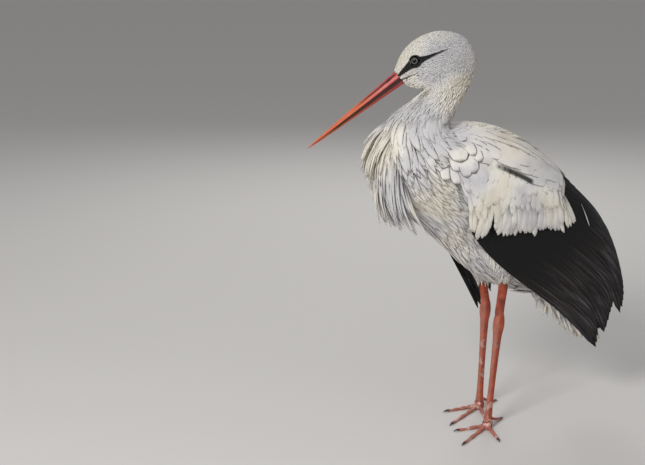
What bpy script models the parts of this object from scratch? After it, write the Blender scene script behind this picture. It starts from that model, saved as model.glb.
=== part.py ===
"""White stork, life size, standing at rest with its neck drawn in and its head turned to its right.

Metres, +Z up. The bird faces -X and its left side is -Y. The parts are drawn from a stance point on the
floor midway between the feet, and are moved at the end so that the origin is the middle of the box's base.
"""

import math

import bmesh
import bpy
import numpy as np

# Driving dimensions
BILL_LENGTH = 0.207
BILL_DOWN = math.radians(38.1)  # below the level
BILL_HALF_DEPTH = 0.0145
HEAD_TURN = math.radians(22.0)
NECK_PIVOT_X = -0.085  # the vertical line that the head turns about
EYE_RADIUS = 0.0088
EYE_PLACE = (-0.149, 0.680)  # x and z of both eyes before the head turns
EYE_OUT = 0.0168  # from the midline to an eyeball's centre
PART_GAP = 0.0004  # between neighbouring pieces
ANKLE_HEIGHT = 0.200
KNOB_RADIUS = 0.0095  # where the toes meet the tarsus
RING_SIDES = 20
FEATHER_STEP = 4  # grid columns across one flight feather

# Body stations, head to vent: dorsal point (x, z), ventral point (x, z), half width, how far the
# widest place lies towards the back, and the share of the head's turn that the station takes.
STATIONS = (
    ("bill base", (-0.186, 0.660), (-0.163, 0.635), 0.0120, 0.00, 1.00),
    ("lores", (-0.174, 0.689), (-0.154, 0.6315), 0.0180, 0.05, 1.00),
    ("eye", (-0.158, 0.709), (-0.147, 0.630), 0.0235, 0.05, 1.00),
    ("cheek", (-0.134, 0.724), (-0.141, 0.629), 0.0280, 0.00, 1.00),
    ("crown", (-0.103, 0.731), (-0.137, 0.6285), 0.0315, 0.00, 1.00),
    ("occiput", (-0.066, 0.722), (-0.1345, 0.6275), 0.0330, 0.00, 0.94),
    ("nape", (-0.044, 0.695), (-0.136, 0.625), 0.0330, 0.00, 0.84),
    ("neck top", (-0.041, 0.667), (-0.150, 0.6125), 0.0335, 0.00, 0.70),
    ("neck", (-0.051, 0.635), (-0.168, 0.601), 0.0345, 0.00, 0.55),
    ("neck middle", (-0.066, 0.607), (-0.187, 0.589), 0.0380, 0.00, 0.40),
    ("neck foot", (-0.080, 0.582), (-0.202, 0.575), 0.0440, 0.00, 0.27),
    ("neck base", (-0.089, 0.564), (-0.213, 0.556), 0.0540, 0.00, 0.14),
    ("shoulder", (-0.072, 0.556), (-0.218, 0.522), 0.0660, 0.05, 0.00),
    ("mantle", (-0.035, 0.556), (-0.214, 0.482), 0.0790, 0.10, 0.00),
    ("back", (0.007, 0.544), (-0.200, 0.446), 0.0860, 0.12, 0.00),
    ("ribs", (0.048, 0.522), (-0.170, 0.414), 0.0890, 0.12, 0.00),
    ("loin", (0.085, 0.492), (-0.122, 0.375), 0.0880, 0.12, 0.00),
    ("flank", (0.115, 0.458), (-0.079, 0.333), 0.0830, 0.12, 0.00),
    ("belly", (0.139, 0.420), (-0.033, 0.291), 0.0720, 0.10, 0.00),
    ("vent", (0.159, 0.380), (0.022, 0.262), 0.0570, 0.05, 0.00),
    ("rump", (0.176, 0.342), (0.080, 0.242), 0.0430, 0.00, 0.00),
)
HEAD_END, NECK_END, BREAST_END = 6.0, 9.0, 14.5  # stations where the body is parted

# Breast plumes in rows: station of the roots, how far round from the midline the row reaches in degrees,
# plumes a side, and the tip (x, z) at the midline and at the row's outer end.
PLUME_ROWS = (
    (9.6, 36, 2, (-0.246, 0.540), (-0.222, 0.541)),
    (10.2, 36, 2, (-0.258, 0.496), (-0.234, 0.492)),
    (10.9, 36, 2, (-0.240, 0.470), (-0.214, 0.458)),
    (11.7, 36, 3, (-0.231, 0.435), (-0.205, 0.424)),
    (12.5, 36, 3, (-0.219, 0.400), (-0.186, 0.394)),
    (13.4, 34, 2, (-0.188, 0.381), (-0.150, 0.381)),
)
PLUME_HALF_WIDTH = 0.0085
PLUME_HALF_THICKNESS = 0.0024

# Side hull that the folded wings lie on: x, top z, depth from the top to the widest place, half width.
HULL = (
    (-0.168, 0.530, 0.105, 0.064),
    (-0.138, 0.546, 0.108, 0.084),
    (-0.100, 0.556, 0.110, 0.094),
    (-0.040, 0.564, 0.115, 0.102),
    (0.022, 0.548, 0.115, 0.103),
    (0.085, 0.509, 0.112, 0.098),
    (0.140, 0.459, 0.108, 0.089),
    (0.196, 0.404, 0.100, 0.078),
    (0.229, 0.359, 0.095, 0.069),
    (0.256, 0.300, 0.090, 0.060),
    (0.278, 0.234, 0.085, 0.052),
    (0.292, 0.150, 0.080, 0.046),
)
HULL_TUCK = 1.5  # how fast the hull closes in below its widest place, per metre of drop
WING_TOP_Y = 0.0015  # the wings' upper edges lie this far from the midline

# The flight feathers' fan: roots, bends and tips (x, z) from the innermost tertial to the outermost primary.
FAN_ROOTS = ((0.096, 0.488), (0.055, 0.450), (0.020, 0.428), (-0.020, 0.412), (-0.055, 0.398), (-0.078, 0.368))
FAN_BENDS = ((0.162, 0.450), (0.178, 0.415), (0.168, 0.376), (0.136, 0.340), (0.076, 0.316), (0.004, 0.286))
FAN_TIPS = ((0.232, 0.368), (0.259, 0.308), (0.277, 0.248), (0.271, 0.190), (0.235, 0.156), (0.204, 0.136))
SECONDARIES, PRIMARIES = 8, 5  # feathers that show in each
PRIMARY_SHARE = 0.64  # of the fan that the tertials and secondaries take
# The right wing's primaries have slipped out of the fold and hang beside the flank.
HANGING_ROOTS = ((-0.055, 0.430), (-0.080, 0.420), (-0.100, 0.400))
HANGING_BENDS = ((0.036, 0.330), (-0.004, 0.300), (-0.038, 0.280))
HANGING_TIPS = ((0.066, 0.228), (0.048, 0.200), (0.030, 0.185))
HANGING_TIP_Y = 0.100

# Legs: the bare shank's upper end, the ankle and the foot, as x, y, z.
LEGS = {
    "left": {"side": -1, "top": (0.012, -0.045, 0.270), "ankle": (0.002, -0.045, ANKLE_HEIGHT),
             "foot": (-0.016, -0.047), "hip": (0.000, -0.050, 0.345)},
    "right": {"side": 1, "top": (0.015, 0.045, 0.250), "ankle": (0.021, 0.045, ANKLE_HEIGHT),
              "foot": (0.016, 0.048), "hip": (0.000, 0.050, 0.345)},
}
# Toes: heading in degrees from -X towards -Y, length with no claw, claw, joints between the phalanges.
TOES = {
    "left": {"middle": (37, 0.091, 0.014, 3), "inner": (-1, 0.057, 0.012, 2), "outer": (81, 0.061, 0.012, 4),
             "hind": (210, 0.045, 0.012, 1)},
    "right": {"middle": (35, 0.103, 0.014, 3), "inner": (74, 0.057, 0.012, 2), "outer": (1, 0.066, 0.012, 4),
              "hind": (199, 0.041, 0.012, 1)},
}
TOE_HALF_WIDTH = 0.0037
HIND_TOE_HEIGHT = 0.020
DOWN = np.array((0.0, 0.0, -1.0))

COLOURS = {
    "white plumage": ((0.80, 0.77, 0.70), 0.85),
    "black plumage": ((0.022, 0.021, 0.021), 0.45),
    "red bill": ((0.72, 0.20, 0.12), 0.35),
    "red skin": ((0.62, 0.17, 0.09), 0.55),
    "horn": ((0.10, 0.07, 0.055), 0.40),
    "eye": ((0.02, 0.02, 0.018), 0.08),
}


def material(finish):
    """The Principled BSDF of one finish, made once."""
    made = bpy.data.materials.get(finish)
    if made is None:
        colour, roughness = COLOURS[finish]
        made = bpy.data.materials.new(finish)
        made.use_nodes = True
        shader = made.node_tree.nodes["Principled BSDF"]
        shader.inputs["Base Color"].default_value = (*colour, 1.0)
        shader.inputs["Roughness"].default_value = roughness
        shader.inputs["Metallic"].default_value = 0.0
    return made


def add_object(name, bm, finish=None):
    """A bmesh made an object. With no finish it is a helper that isn't part of the bird."""
    bmesh.ops.recalc_face_normals(bm, faces=bm.faces)
    mesh = bpy.data.meshes.new(name)
    bm.to_mesh(mesh)
    bm.free()
    obj = bpy.data.objects.new(name, mesh)
    bpy.context.scene.collection.objects.link(obj)
    if finish:
        mesh.materials.append(material(finish))
        mesh.shade_smooth()
        mesh.set_sharp_from_angle(angle=math.radians(50))
    else:
        obj.hide_render = True
        obj.display_type = "WIRE"
    return obj


def curve_through(points, t):
    """Catmull-Rom curve through the points at parameters t, where point i lies at t = i."""
    p = np.asarray(points, float)
    t = np.atleast_1d(np.asarray(t, float))
    i = np.clip(np.floor(t).astype(int), 0, len(p) - 2)
    f = (t - i)[:, None]
    before, a, b, after = p[np.maximum(i - 1, 0)], p[i], p[i + 1], p[np.minimum(i + 2, len(p) - 1)]
    start, end = (b - before) / 2, (after - a) / 2
    return (
        a * (2 * f**3 - 3 * f**2 + 1)
        + start * (f**3 - 2 * f**2 + f)
        + b * (3 * f**2 - 2 * f**3)
        + end * (f**3 - f**2)
    )


def across(table, share):
    """A point on the curve through the table at a share, 0 to 1, of its whole run."""
    return curve_through(table, np.asarray(share, float) * (len(table) - 1))


def loft(bm, rings, close_ends=True):
    """Rings of equal count bridged into a tube with flat ends."""
    rows = [[bm.verts.new(p) for p in ring] for ring in rings]
    count = len(rows[0])
    for near, far in zip(rows, rows[1:]):
        for i in range(count):
            j = (i + 1) % count
            bm.faces.new((near[i], near[j], far[j], far[i]))
    if close_ends:
        bm.faces.new(rows[0][::-1])
        bm.faces.new(rows[-1])
    return rows


def turned(points, angle):
    """Points turned about the neck's vertical line, towards the bird's right for a positive angle."""
    x, y = points[..., 0] - NECK_PIVOT_X, points[..., 1]
    c, s = math.cos(-angle), math.sin(-angle)
    return np.stack((NECK_PIVOT_X + c * x - s * y, s * x + c * y, points[..., 2]), -1)


def body_section(station, grow=0.0):
    """(centre, dorsal half axis, half width, egg, turn) of the body at a station, grown by a margin."""
    dorsal = curve_through([s[1] for s in STATIONS], station)[0]
    ventral = curve_through([s[2] for s in STATIONS], station)[0]
    width, egg, turn = curve_through([s[3:] for s in STATIONS], station)[0]
    centre = np.array(((dorsal[0] + ventral[0]) / 2, 0.0, (dorsal[1] + ventral[1]) / 2))
    axis = np.array(((dorsal[0] - ventral[0]) / 2, 0.0, (dorsal[1] - ventral[1]) / 2))
    axis *= 1 + grow / np.linalg.norm(axis)
    return centre, axis, width + grow, egg, turn * HEAD_TURN


def body_point(station, degrees, grow=0.0):
    """The point of the body's surface that lies some degrees round from the back, towards -Y."""
    centre, axis, width, egg, turn = body_section(station, grow)
    a = math.radians(degrees)
    lateral = -width * math.sin(a) * (1 + egg * math.cos(a))
    return turned(centre + axis * math.cos(a) + np.array((0.0, lateral, 0.0)), turn)


def body_ring(station, grow=0.0, slide=0.0):
    """One cross-section of the body, slid along its own normal."""
    ring = np.array([body_point(station, 360 * k / RING_SIDES, grow) for k in range(RING_SIDES)])
    normal = np.cross(ring[RING_SIDES // 4] - ring[0], ring[RING_SIDES // 2] - ring[0])
    return ring + slide * normal / np.linalg.norm(normal)


def body_length(name, first, last, steps, finish=None, grow=0.0):
    """The stretch of the body between two stations, drawn back at each cut by half a gap."""
    stations = np.linspace(first, last, steps + 1)
    slides = np.zeros(steps + 1)
    ahead = body_section(first + 0.1)[0] - body_section(first)[0]
    ring = body_ring(first)
    normal = np.cross(ring[RING_SIDES // 4] - ring[0], ring[RING_SIDES // 2] - ring[0])
    forward = math.copysign(PART_GAP / 2, float(normal @ ahead))
    slides[0] = forward if first > 0 else 0.0
    slides[-1] = -forward
    bm = bmesh.new()
    loft(bm, [body_ring(s, grow, d) for s, d in zip(stations, slides)])
    return add_object(name, bm, finish)


def boolean(obj, operation, *others):
    """Boolean modifiers against each of the other objects."""
    for other in others:
        modifier = obj.modifiers.new(f"{operation} {other.name}", "BOOLEAN")
        modifier.operation = operation
        modifier.solver = "EXACT"
        modifier.object = other


def plume(station, degrees, tip, index):
    """One lance-shaped breast plume: rooted in the body, widest at a third, and flat at its tip."""
    root = body_point(station, degrees, grow=-0.006)
    tip = np.array(tip)
    along = tip - root
    side = np.cross(along, np.array((0.0, math.sin(math.radians(degrees - 180)), -0.3)))
    outward = body_point(station, degrees) - body_section(station)[0]
    side = np.cross(along, outward)
    side /= np.linalg.norm(side)
    up = np.cross(side, along)
    up /= np.linalg.norm(up)
    rings = []
    for share, wide in ((0.0, 0.75), (0.4, 1.0), (0.8, 0.6), (1.0, 0.09)):
        centre = root + along * share + up * 0.010 * math.sin(math.pi * share)
        w, h = PLUME_HALF_WIDTH * wide, max(PLUME_HALF_THICKNESS * wide, 0.0003)
        rings.append([centre + side * w, centre + up * h, centre - side * w, centre - up * h])
    bm = bmesh.new()
    loft(bm, rings)
    return add_object(f"plume_{index}", bm)


def make_plumes():
    """Every breast plume, in rows down the breast and fanned to both sides of the midline."""
    plumes = []
    for station, reach, count, middle_tip, outer_tip in PLUME_ROWS:
        for k in range(-count, count + 1):
            share = k / count
            x, z = np.array(middle_tip) * (1 - abs(share)) + np.array(outer_tip) * abs(share)
            degrees = 180 + reach * share
            root = body_point(station, degrees)
            away = 1.12 * root[1] + 0.010 * share
            jitter = 0.5 + 0.5 * math.cos(5.0 * k + 7.0 * station)
            tip = (x + 0.008 * jitter * (k != 0), away, z + 0.007 * jitter)
            plumes.append(plume(station, degrees, tip, len(plumes)))
    return plumes


def hull_y(x, z):
    """How far the side hull lies from the midline at a side-view point."""
    table = np.array(HULL)
    top, depth, half = (np.interp(x, table[:, 0], table[:, k]) for k in (1, 2, 3))
    above = np.clip((z - (top - depth)) / depth, 0.0, 1.0)
    below = np.maximum((top - depth) - z, 0.0)
    crowned = half * (1 - above**2.4) ** (1 / 2.4)
    return np.maximum(crowned - HULL_TUCK * below**2 * half / 0.1, WING_TOP_Y + 0.0025)


def drape(x, z, lift, side):
    """A side-view point laid on the hull and lifted off it along the hull's normal. side is -1 or 1."""
    step = 0.002
    x, z = np.asarray(x, float), np.asarray(z, float)
    y = hull_y(x, z)
    slope_x = (hull_y(x + step, z) - hull_y(x - step, z)) / (2 * step)
    slope_z = (hull_y(x, z + step) - hull_y(x, z - step)) / (2 * step)
    slope_z = np.clip(slope_z, -3.0, 3.0)
    normal = np.stack((-slope_x, np.ones_like(slope_x), -slope_z), -1)
    normal /= np.linalg.norm(normal, axis=-1, keepdims=True)
    p = np.stack((x, y, z), -1) + normal * np.asarray(lift)[..., None]
    p[..., 1] = np.maximum(p[..., 1], WING_TOP_Y - 0.001) * side
    return p


def closed_sheet(name, outer, inner, finish):
    """Two equal grids of points closed into one thin solid round their edges."""
    bm = bmesh.new()
    rows, columns = outer.shape[:2]
    top = [[bm.verts.new(p) for p in row] for row in outer]
    bottom = [[bm.verts.new(p) for p in row] for row in inner]
    for i in range(rows - 1):
        for j in range(columns - 1):
            bm.faces.new((top[i][j], top[i + 1][j], top[i + 1][j + 1], top[i][j + 1]))
            bm.faces.new((bottom[i][j], bottom[i][j + 1], bottom[i + 1][j + 1], bottom[i + 1][j]))
    rim = [(i, 0) for i in range(rows)] + [(rows - 1, j) for j in range(1, columns)]
    rim += [(i, columns - 1) for i in range(rows - 2, -1, -1)] + [(0, j) for j in range(columns - 2, 0, -1)]
    for (i, j), (k, m) in zip(rim, rim[1:] + rim[:1]):
        bm.faces.new((top[i][j], top[k][m], bottom[k][m], bottom[i][j]))
    return add_object(name, bm, finish)


def make_coverts(side, name):
    """The white shoulder and coverts: a crowned sheet from the back down to a scalloped edge."""
    u, v = np.meshgrid(np.linspace(0, 1, 17), np.linspace(0, 1, 8), indexing="ij")
    table = np.array(HULL)
    top_x = -0.058 + 0.172 * u
    top_z = np.interp(top_x, table[:, 0], table[:, 1])
    bottom_x = -0.100 + 0.230 * u
    scallop = 0.007 * np.abs(np.sin(math.pi * 8 * u))
    front_lobe = 0.030 * np.exp(-(((u - 0.21) / 0.035) ** 2))
    bottom_z = 0.393 - scallop + front_lobe * (u > 0.05) - 0.012 * np.exp(-(((u - 0.12) / 0.05) ** 2))
    front_bulge = 0.048 * np.sin(math.pi * np.clip(v, 0, 1)) * (1 - u) ** 3
    x = top_x * (1 - v) + bottom_x * v - front_bulge
    z = top_z + (bottom_z - top_z) * (0.35 * v**2 + 0.65 * v)
    rounded = np.minimum(1, 6 * u) * np.minimum(1, 7 * (1 - u)) * np.sin(math.pi * np.minimum(v, 0.93)) ** 0.5
    outer = drape(x, z, 0.0026 + 0.0072 * rounded, side)
    inner = drape(x, z, 0.0014 * np.ones_like(u), side)
    return closed_sheet(name, outer, inner, "white plumage")


def flight_fan(name, side, roots, bends, tips, feathers, first, last, notch, lift, tip_y=None):
    """A fan of overlapping flight feathers as one sheet: each steps under its neighbour and has its own tip."""
    columns = feathers * FEATHER_STEP + 1
    k = np.linspace(0, feathers, columns)
    share = first + (last - first) * k / feathers
    root, bend, tip = across(roots, share), across(bends, share), across(tips, share)
    in_feather = np.minimum(k % 1.0, 1.0)
    in_feather[-1] = 1.0
    edge = 1 - notch * np.abs(2 * in_feather - 1) ** 1.6
    t = np.linspace(0, 1, 5)[None, :] * edge[:, None]
    t3 = t[..., None]
    xz = (1 - t3) ** 2 * root[:, None] + 2 * t3 * (1 - t3) * bend[:, None] + t3**2 * tip[:, None]
    step = 0.0016 * (1 - in_feather)[:, None] - 0.0035 * (1 - t) ** 2
    outer = drape(xz[..., 0], xz[..., 1], lift - 0.0012 + step - 0.0008 * t, side)
    inner = drape(xz[..., 0], xz[..., 1], lift - 0.0038 + step + 0.0008 * t, side)
    if tip_y:
        droop = t**1.3
        target = side * (tip_y - (outer[..., 1] - inner[..., 1]) * side / 2)
        thickness = outer[..., 1] - inner[..., 1]
        inner[..., 1] += (target - inner[..., 1]) * droop
        outer[..., 1] = inner[..., 1] + thickness
    return closed_sheet(name, outer, inner, "black plumage")


def make_wing(side, name):
    """A folded wing: white coverts over black secondaries and primaries."""
    make_coverts(side, f"wing_{name}_coverts")
    fan = (FAN_ROOTS, FAN_BENDS, FAN_TIPS)
    flight_fan(f"wing_{name}_secondaries", side, *fan, SECONDARIES, 0.0, PRIMARY_SHARE - 0.003, 0.085, 0.0)
    if side < 0:
        flight_fan(f"wing_{name}_primaries", side, *fan, PRIMARIES, PRIMARY_SHARE + 0.003, 1.0, 0.13, 0.0)
    else:
        hanging = (HANGING_ROOTS, HANGING_BENDS, HANGING_TIPS)
        flight_fan(f"wing_{name}_primaries", side, *hanging, 3, 0.0, 1.0, 0.10, -0.0042, HANGING_TIP_Y)


def make_tail():
    """The white tail: a shallow roof of six feather pairs under the wings' ends."""
    u, v = np.meshgrid(np.linspace(-1, 1, 13), np.linspace(0, 1, 6), indexing="ij")
    edge = 1 - 0.035 * np.abs(np.sin(math.pi * 3 * (u + 1))) - 0.05 * u**2
    t = v * edge
    top = across(((0.180, 0.338), (0.213, 0.238), (0.224, 0.143)), t.ravel()).reshape(*u.shape, 2)
    low = across(((0.083, 0.243), (0.145, 0.200), (0.216, 0.139)), t.ravel()).reshape(*u.shape, 2)
    half = 0.037 + 0.006 * t
    roof = 0.012 * u**2 * (0.3 + t)
    flat = 1 - 0.55 * u**2
    middle = (top + low) / 2
    outer = np.stack((middle[..., 0] + (top - middle)[..., 0] * flat, u * half,
                      middle[..., 1] + (top - middle)[..., 1] * flat - roof), -1)
    inner = np.stack((middle[..., 0] + (low - middle)[..., 0] * flat, u * half,
                      middle[..., 1] + (low - middle)[..., 1] * flat - roof), -1)
    return closed_sheet("tail", outer, inner, "white plumage")


def make_bill():
    """Both mandibles: long, straight and parted by a thin line. The first ring lies against the head's."""
    crown_side, chin_side = np.array(STATIONS[0][1]), np.array(STATIONS[0][2])
    base = (crown_side + chin_side) / 2
    face = (crown_side - chin_side) / np.linalg.norm(crown_side - chin_side)
    along = np.array((-math.cos(BILL_DOWN), -math.sin(BILL_DOWN)))
    clear = np.array((face[1] * -1, face[0])) * PART_GAP
    shares = np.array((0.0, 0.06, 0.17, 0.35, 0.52, 0.69, 0.86, 0.96, 1.0))
    taper = np.array((0.97, 0.90, 0.80, 0.68, 0.54, 0.385, 0.24, 0.11, 0.035))
    for name, sign, part in (("bill_upper", 1, 1.0), ("bill_lower", -1, 0.93)):
        rings = []
        for s, t in zip(shares * (1 if sign > 0 else 0.985), taper):
            up = face if s == 0 else np.array((along[1], -along[0]))
            centre = base + along * BILL_LENGTH * s + clear + up * 0.0015 * (s > 0)
            half, tall = max(0.0112 * t, 0.0006), max(BILL_HALF_DEPTH * t * part, 0.0008)
            ring = []
            for a in np.linspace(0, math.pi, 7):
                lift = PART_GAP / 2 + (tall - PART_GAP / 2) * math.sin(a) ** 1.2
                xz = centre + up * lift * sign
                ring.append((xz[0], half * math.cos(a), xz[1]))
            rings.append(turned(np.array(ring), HEAD_TURN))
        bm = bmesh.new()
        loft(bm, rings)
        add_object(name, bm, "red bill")


def make_eyes(head):
    """Two eyeballs sunk in sockets of the head."""
    for side, name in ((-1, "left"), (1, "right")):
        place = turned(np.array((EYE_PLACE[0], side * EYE_OUT, EYE_PLACE[1])), HEAD_TURN)
        for label, radius, finish in ((f"eye_{name}", EYE_RADIUS, "eye"),
                                      (f"socket_{name}", EYE_RADIUS + PART_GAP, None)):
            bm = bmesh.new()
            bmesh.ops.create_uvsphere(bm, u_segments=12, v_segments=7, radius=radius)
            bmesh.ops.translate(bm, verts=bm.verts, vec=place)
            ball = add_object(label, bm, finish)
        boolean(head, "DIFFERENCE", ball)


def tube(name, path, halves, facing, finish, sides=10, floor=False):
    """An elliptical tube whose rings all face one way. halves are its half sizes across and up, or along
    X if it is upright, and a floor cuts it flat."""
    hint = np.array((1.0, 0.0, 0.0) if facing[2] else (0.0, 0.0, 1.0))
    across_axis = np.cross(facing, hint)
    angles = np.linspace(0, 2 * math.pi, sides, endpoint=False)
    rings = []
    for centre, (wide, tall) in zip(path, halves):
        ring = centre + np.outer(np.cos(angles), across_axis) * wide + np.outer(np.sin(angles), hint) * tall
        if floor:
            ring[:, 2] = np.maximum(ring[:, 2], 0.0)
        rings.append(ring)
    bm = bmesh.new()
    loft(bm, rings)
    return add_object(name, bm, finish)


def make_shank_and_tarsus(name, leg):
    """The bare shank above the ankle, and the tarsus with its ankle knuckle and the knob of the foot."""
    top, ankle = np.array(leg["top"]), np.array(leg["ankle"])
    foot = np.array((*leg["foot"], 0.0))
    shares = np.linspace(0, 1, 5)
    shank = top + (ankle + (0, 0, 0.016) - top) * shares[:, None]
    swell = 0.0066 + 0.0016 * (1 - shares) ** 2 + 0.0008 * shares**3
    tube(f"shank_{name}", shank, np.stack((swell, swell * 1.08), -1), DOWN, "red skin")
    heights = np.array((0.0156, 0.008, -0.002, -0.012, -0.026, -0.070, -0.120, -0.160))
    across_leg = np.array((0.0074, 0.0092, 0.0096, 0.0086, 0.0062, 0.0050, 0.0050, 0.0056))
    along_leg = np.array((0.0080, 0.0104, 0.0112, 0.0098, 0.0070, 0.0059, 0.0058, 0.0062))
    spread = (ankle[2] + heights) / ankle[2]
    path = foot + (ankle - foot) * spread[:, None]
    path[:, 2] = ankle[2] + heights
    knob_path = foot + (ankle - foot) * np.array((0.09, 0.045, 0.012, 0.0))[:, None]
    knob_half = np.array((0.0072, 0.0092, 0.0088, 0.0062))
    path = np.vstack((path, knob_path))
    halves = np.vstack((np.stack((across_leg, along_leg), -1), np.stack((knob_half, knob_half), -1)))
    tube(f"tarsus_{name}", path, halves, DOWN, "red skin", floor=True)


def make_foot(name, leg):
    """Three front toes and a raised hind toe, each with its claw, flat where they meet the floor."""
    foot = np.array((*leg["foot"], 0.0))
    for toe, (heading, length, claw, joints) in TOES[name].items():
        a = math.radians(heading)
        out = np.array((-math.cos(a), -math.sin(a), 0.0))
        start = KNOB_RADIUS + PART_GAP + 0.0003
        steps = 2 * joints + 3
        shares = np.linspace(0, 1, steps)
        knuckle = 1 + 0.13 * np.cos(2 * math.pi * joints * shares)
        wide = TOE_HALF_WIDTH * (1 - 0.30 * shares) * knuckle
        wide[0] = TOE_HALF_WIDTH * 0.77
        raised = HIND_TOE_HEIGHT if toe == "hind" else 0.0052
        lowest = wide * 0.82
        height = lowest + (raised - lowest) * (1 - shares) ** (1.3 if toe == "hind" else 3)
        path = foot + out * (start + (length - start) * shares)[:, None]
        path[:, 2] = height
        tube(f"toe_{name}_{toe}", path, np.stack((wide, wide * 0.92), -1), out, "red skin", 8, floor=True)
        claw_shares = np.array((0.0, 0.35, 0.7, 1.0))
        claw_half = wide[-1] * np.array((0.84, 0.72, 0.42, 0.12))
        claw_path = foot + out * (length + PART_GAP + claw * claw_shares)[:, None]
        claw_path[:, 2] = height[-1] + 0.0008 * np.sin(math.pi * claw_shares) - 0.0016 * claw_shares**2
        halves = np.stack((claw_half, claw_half * 0.8), -1)
        tube(f"claw_{name}_{toe}", claw_path, halves, out, "horn", 6, floor=True)


def make_thigh(name, leg, body_cutter):
    """The feathered thigh: a soft cone from the flank to the top of the bare shank."""
    hip, top = np.array(leg["hip"]), np.array(leg["top"]) + (0, 0, PART_GAP)
    shares = np.linspace(0, 1, 6)
    path = hip + (top - hip) * shares[:, None]
    half = np.interp(shares, (0, 0.35, 0.7, 0.9, 1.0), (0.040, 0.036, 0.025, 0.017, 0.0125))
    thigh = tube(f"thigh_{name}", path, np.stack((half * 0.72, half), -1), DOWN, "white plumage", 12)
    boolean(thigh, "DIFFERENCE", body_cutter)


def stand_at_origin():
    """Moves every piece so that the origin is the middle of the base of the whole bird's box."""
    bpy.context.view_layer.update()
    graph = bpy.context.evaluated_depsgraph_get()
    corners = []
    for obj in bpy.data.objects:
        if not obj.hide_render:
            mesh = obj.evaluated_get(graph).to_mesh()
            co = np.empty(len(mesh.vertices) * 3, np.float32)
            mesh.vertices.foreach_get("co", co)
            co = co.reshape(-1, 3)
            corners += [co.min(0), co.max(0)]
    low, high = np.min(corners, 0), np.max(corners, 0)
    shift = (-(low[0] + high[0]) / 2, -(low[1] + high[1]) / 2, 0.0)
    for obj in bpy.data.objects:
        obj.location = shift


def build():
    """The whole bird."""
    for obj in list(bpy.data.objects):
        bpy.data.objects.remove(obj)
    head = body_length("head", 0.0, HEAD_END, 11, "white plumage")
    body_length("neck", HEAD_END, NECK_END, 6, "white plumage")
    breast = body_length("breast", NECK_END, BREAST_END, 11, "white plumage")
    body_length("trunk", BREAST_END, len(STATIONS) - 1.0, 11, "white plumage")
    boolean(breast, "UNION", *make_plumes())
    make_eyes(head)
    make_bill()
    cutter = body_length("body_cutter", NECK_END, len(STATIONS) - 1.0, 22, grow=0.0016)
    for side, name in ((-1, "left"), (1, "right")):
        make_wing(side, name)
        boolean(bpy.data.objects[f"wing_{name}_coverts"], "DIFFERENCE", cutter)
        boolean(bpy.data.objects[f"wing_{name}_secondaries"], "DIFFERENCE", cutter)
        boolean(bpy.data.objects[f"wing_{name}_primaries"], "DIFFERENCE", cutter)
        make_thigh(name, LEGS[name], cutter)
        make_shank_and_tarsus(name, LEGS[name])
        make_foot(name, LEGS[name])
    make_tail()
    stand_at_origin()


build()
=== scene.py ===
"""Looks of the white stork: a skin, its coat of feathers, wings, tail, bill, eyes and legs.

Metres, +Z up. The bird faces -X and its left side is -Y. Shapes are worked out from the stance point between
the feet, as the solids are, and PLACE moves them into the frame.
"""

import math

import bpy
import numpy as np
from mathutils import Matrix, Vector


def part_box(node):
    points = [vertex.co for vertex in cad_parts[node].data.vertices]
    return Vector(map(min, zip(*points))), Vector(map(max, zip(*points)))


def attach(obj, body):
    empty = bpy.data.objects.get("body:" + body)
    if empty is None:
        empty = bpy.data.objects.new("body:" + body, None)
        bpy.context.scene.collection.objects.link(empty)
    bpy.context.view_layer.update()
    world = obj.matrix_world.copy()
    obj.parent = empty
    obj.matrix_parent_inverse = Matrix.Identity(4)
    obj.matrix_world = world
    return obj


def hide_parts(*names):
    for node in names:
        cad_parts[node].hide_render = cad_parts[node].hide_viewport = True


bl_info = {
    "name": "White stork",
    "version": (1, 0, 0),
    "blender": (4, 5, 0),
    "location": "View3D > Sidebar > Stork",
    "description": "Dresses the white stork's solids in skin, feathers, horn and scales",
    "category": "Object",
}

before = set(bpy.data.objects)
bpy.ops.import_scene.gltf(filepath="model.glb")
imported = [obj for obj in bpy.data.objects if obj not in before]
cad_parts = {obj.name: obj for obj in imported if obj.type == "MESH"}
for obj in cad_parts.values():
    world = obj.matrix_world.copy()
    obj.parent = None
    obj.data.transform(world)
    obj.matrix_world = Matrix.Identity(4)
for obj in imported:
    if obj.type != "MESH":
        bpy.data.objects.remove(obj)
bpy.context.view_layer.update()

# ---------------------------------------- design values shared with the solids

HEAD_TURN = math.radians(22.0)
NECK_PIVOT_X = -0.085
EYE_RADIUS = 0.0088
EYE_PLACE = (-0.149, 0.680)
EYE_OUT = 0.0168
BILL_LENGTH = 0.207
BILL_DOWN = math.radians(38.1)
BILL_HALF_DEPTH = 0.0145
ANKLE_HEIGHT = 0.200
TOE_HALF_WIDTH = 0.0037
HIND_TOE_HEIGHT = 0.020

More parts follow.
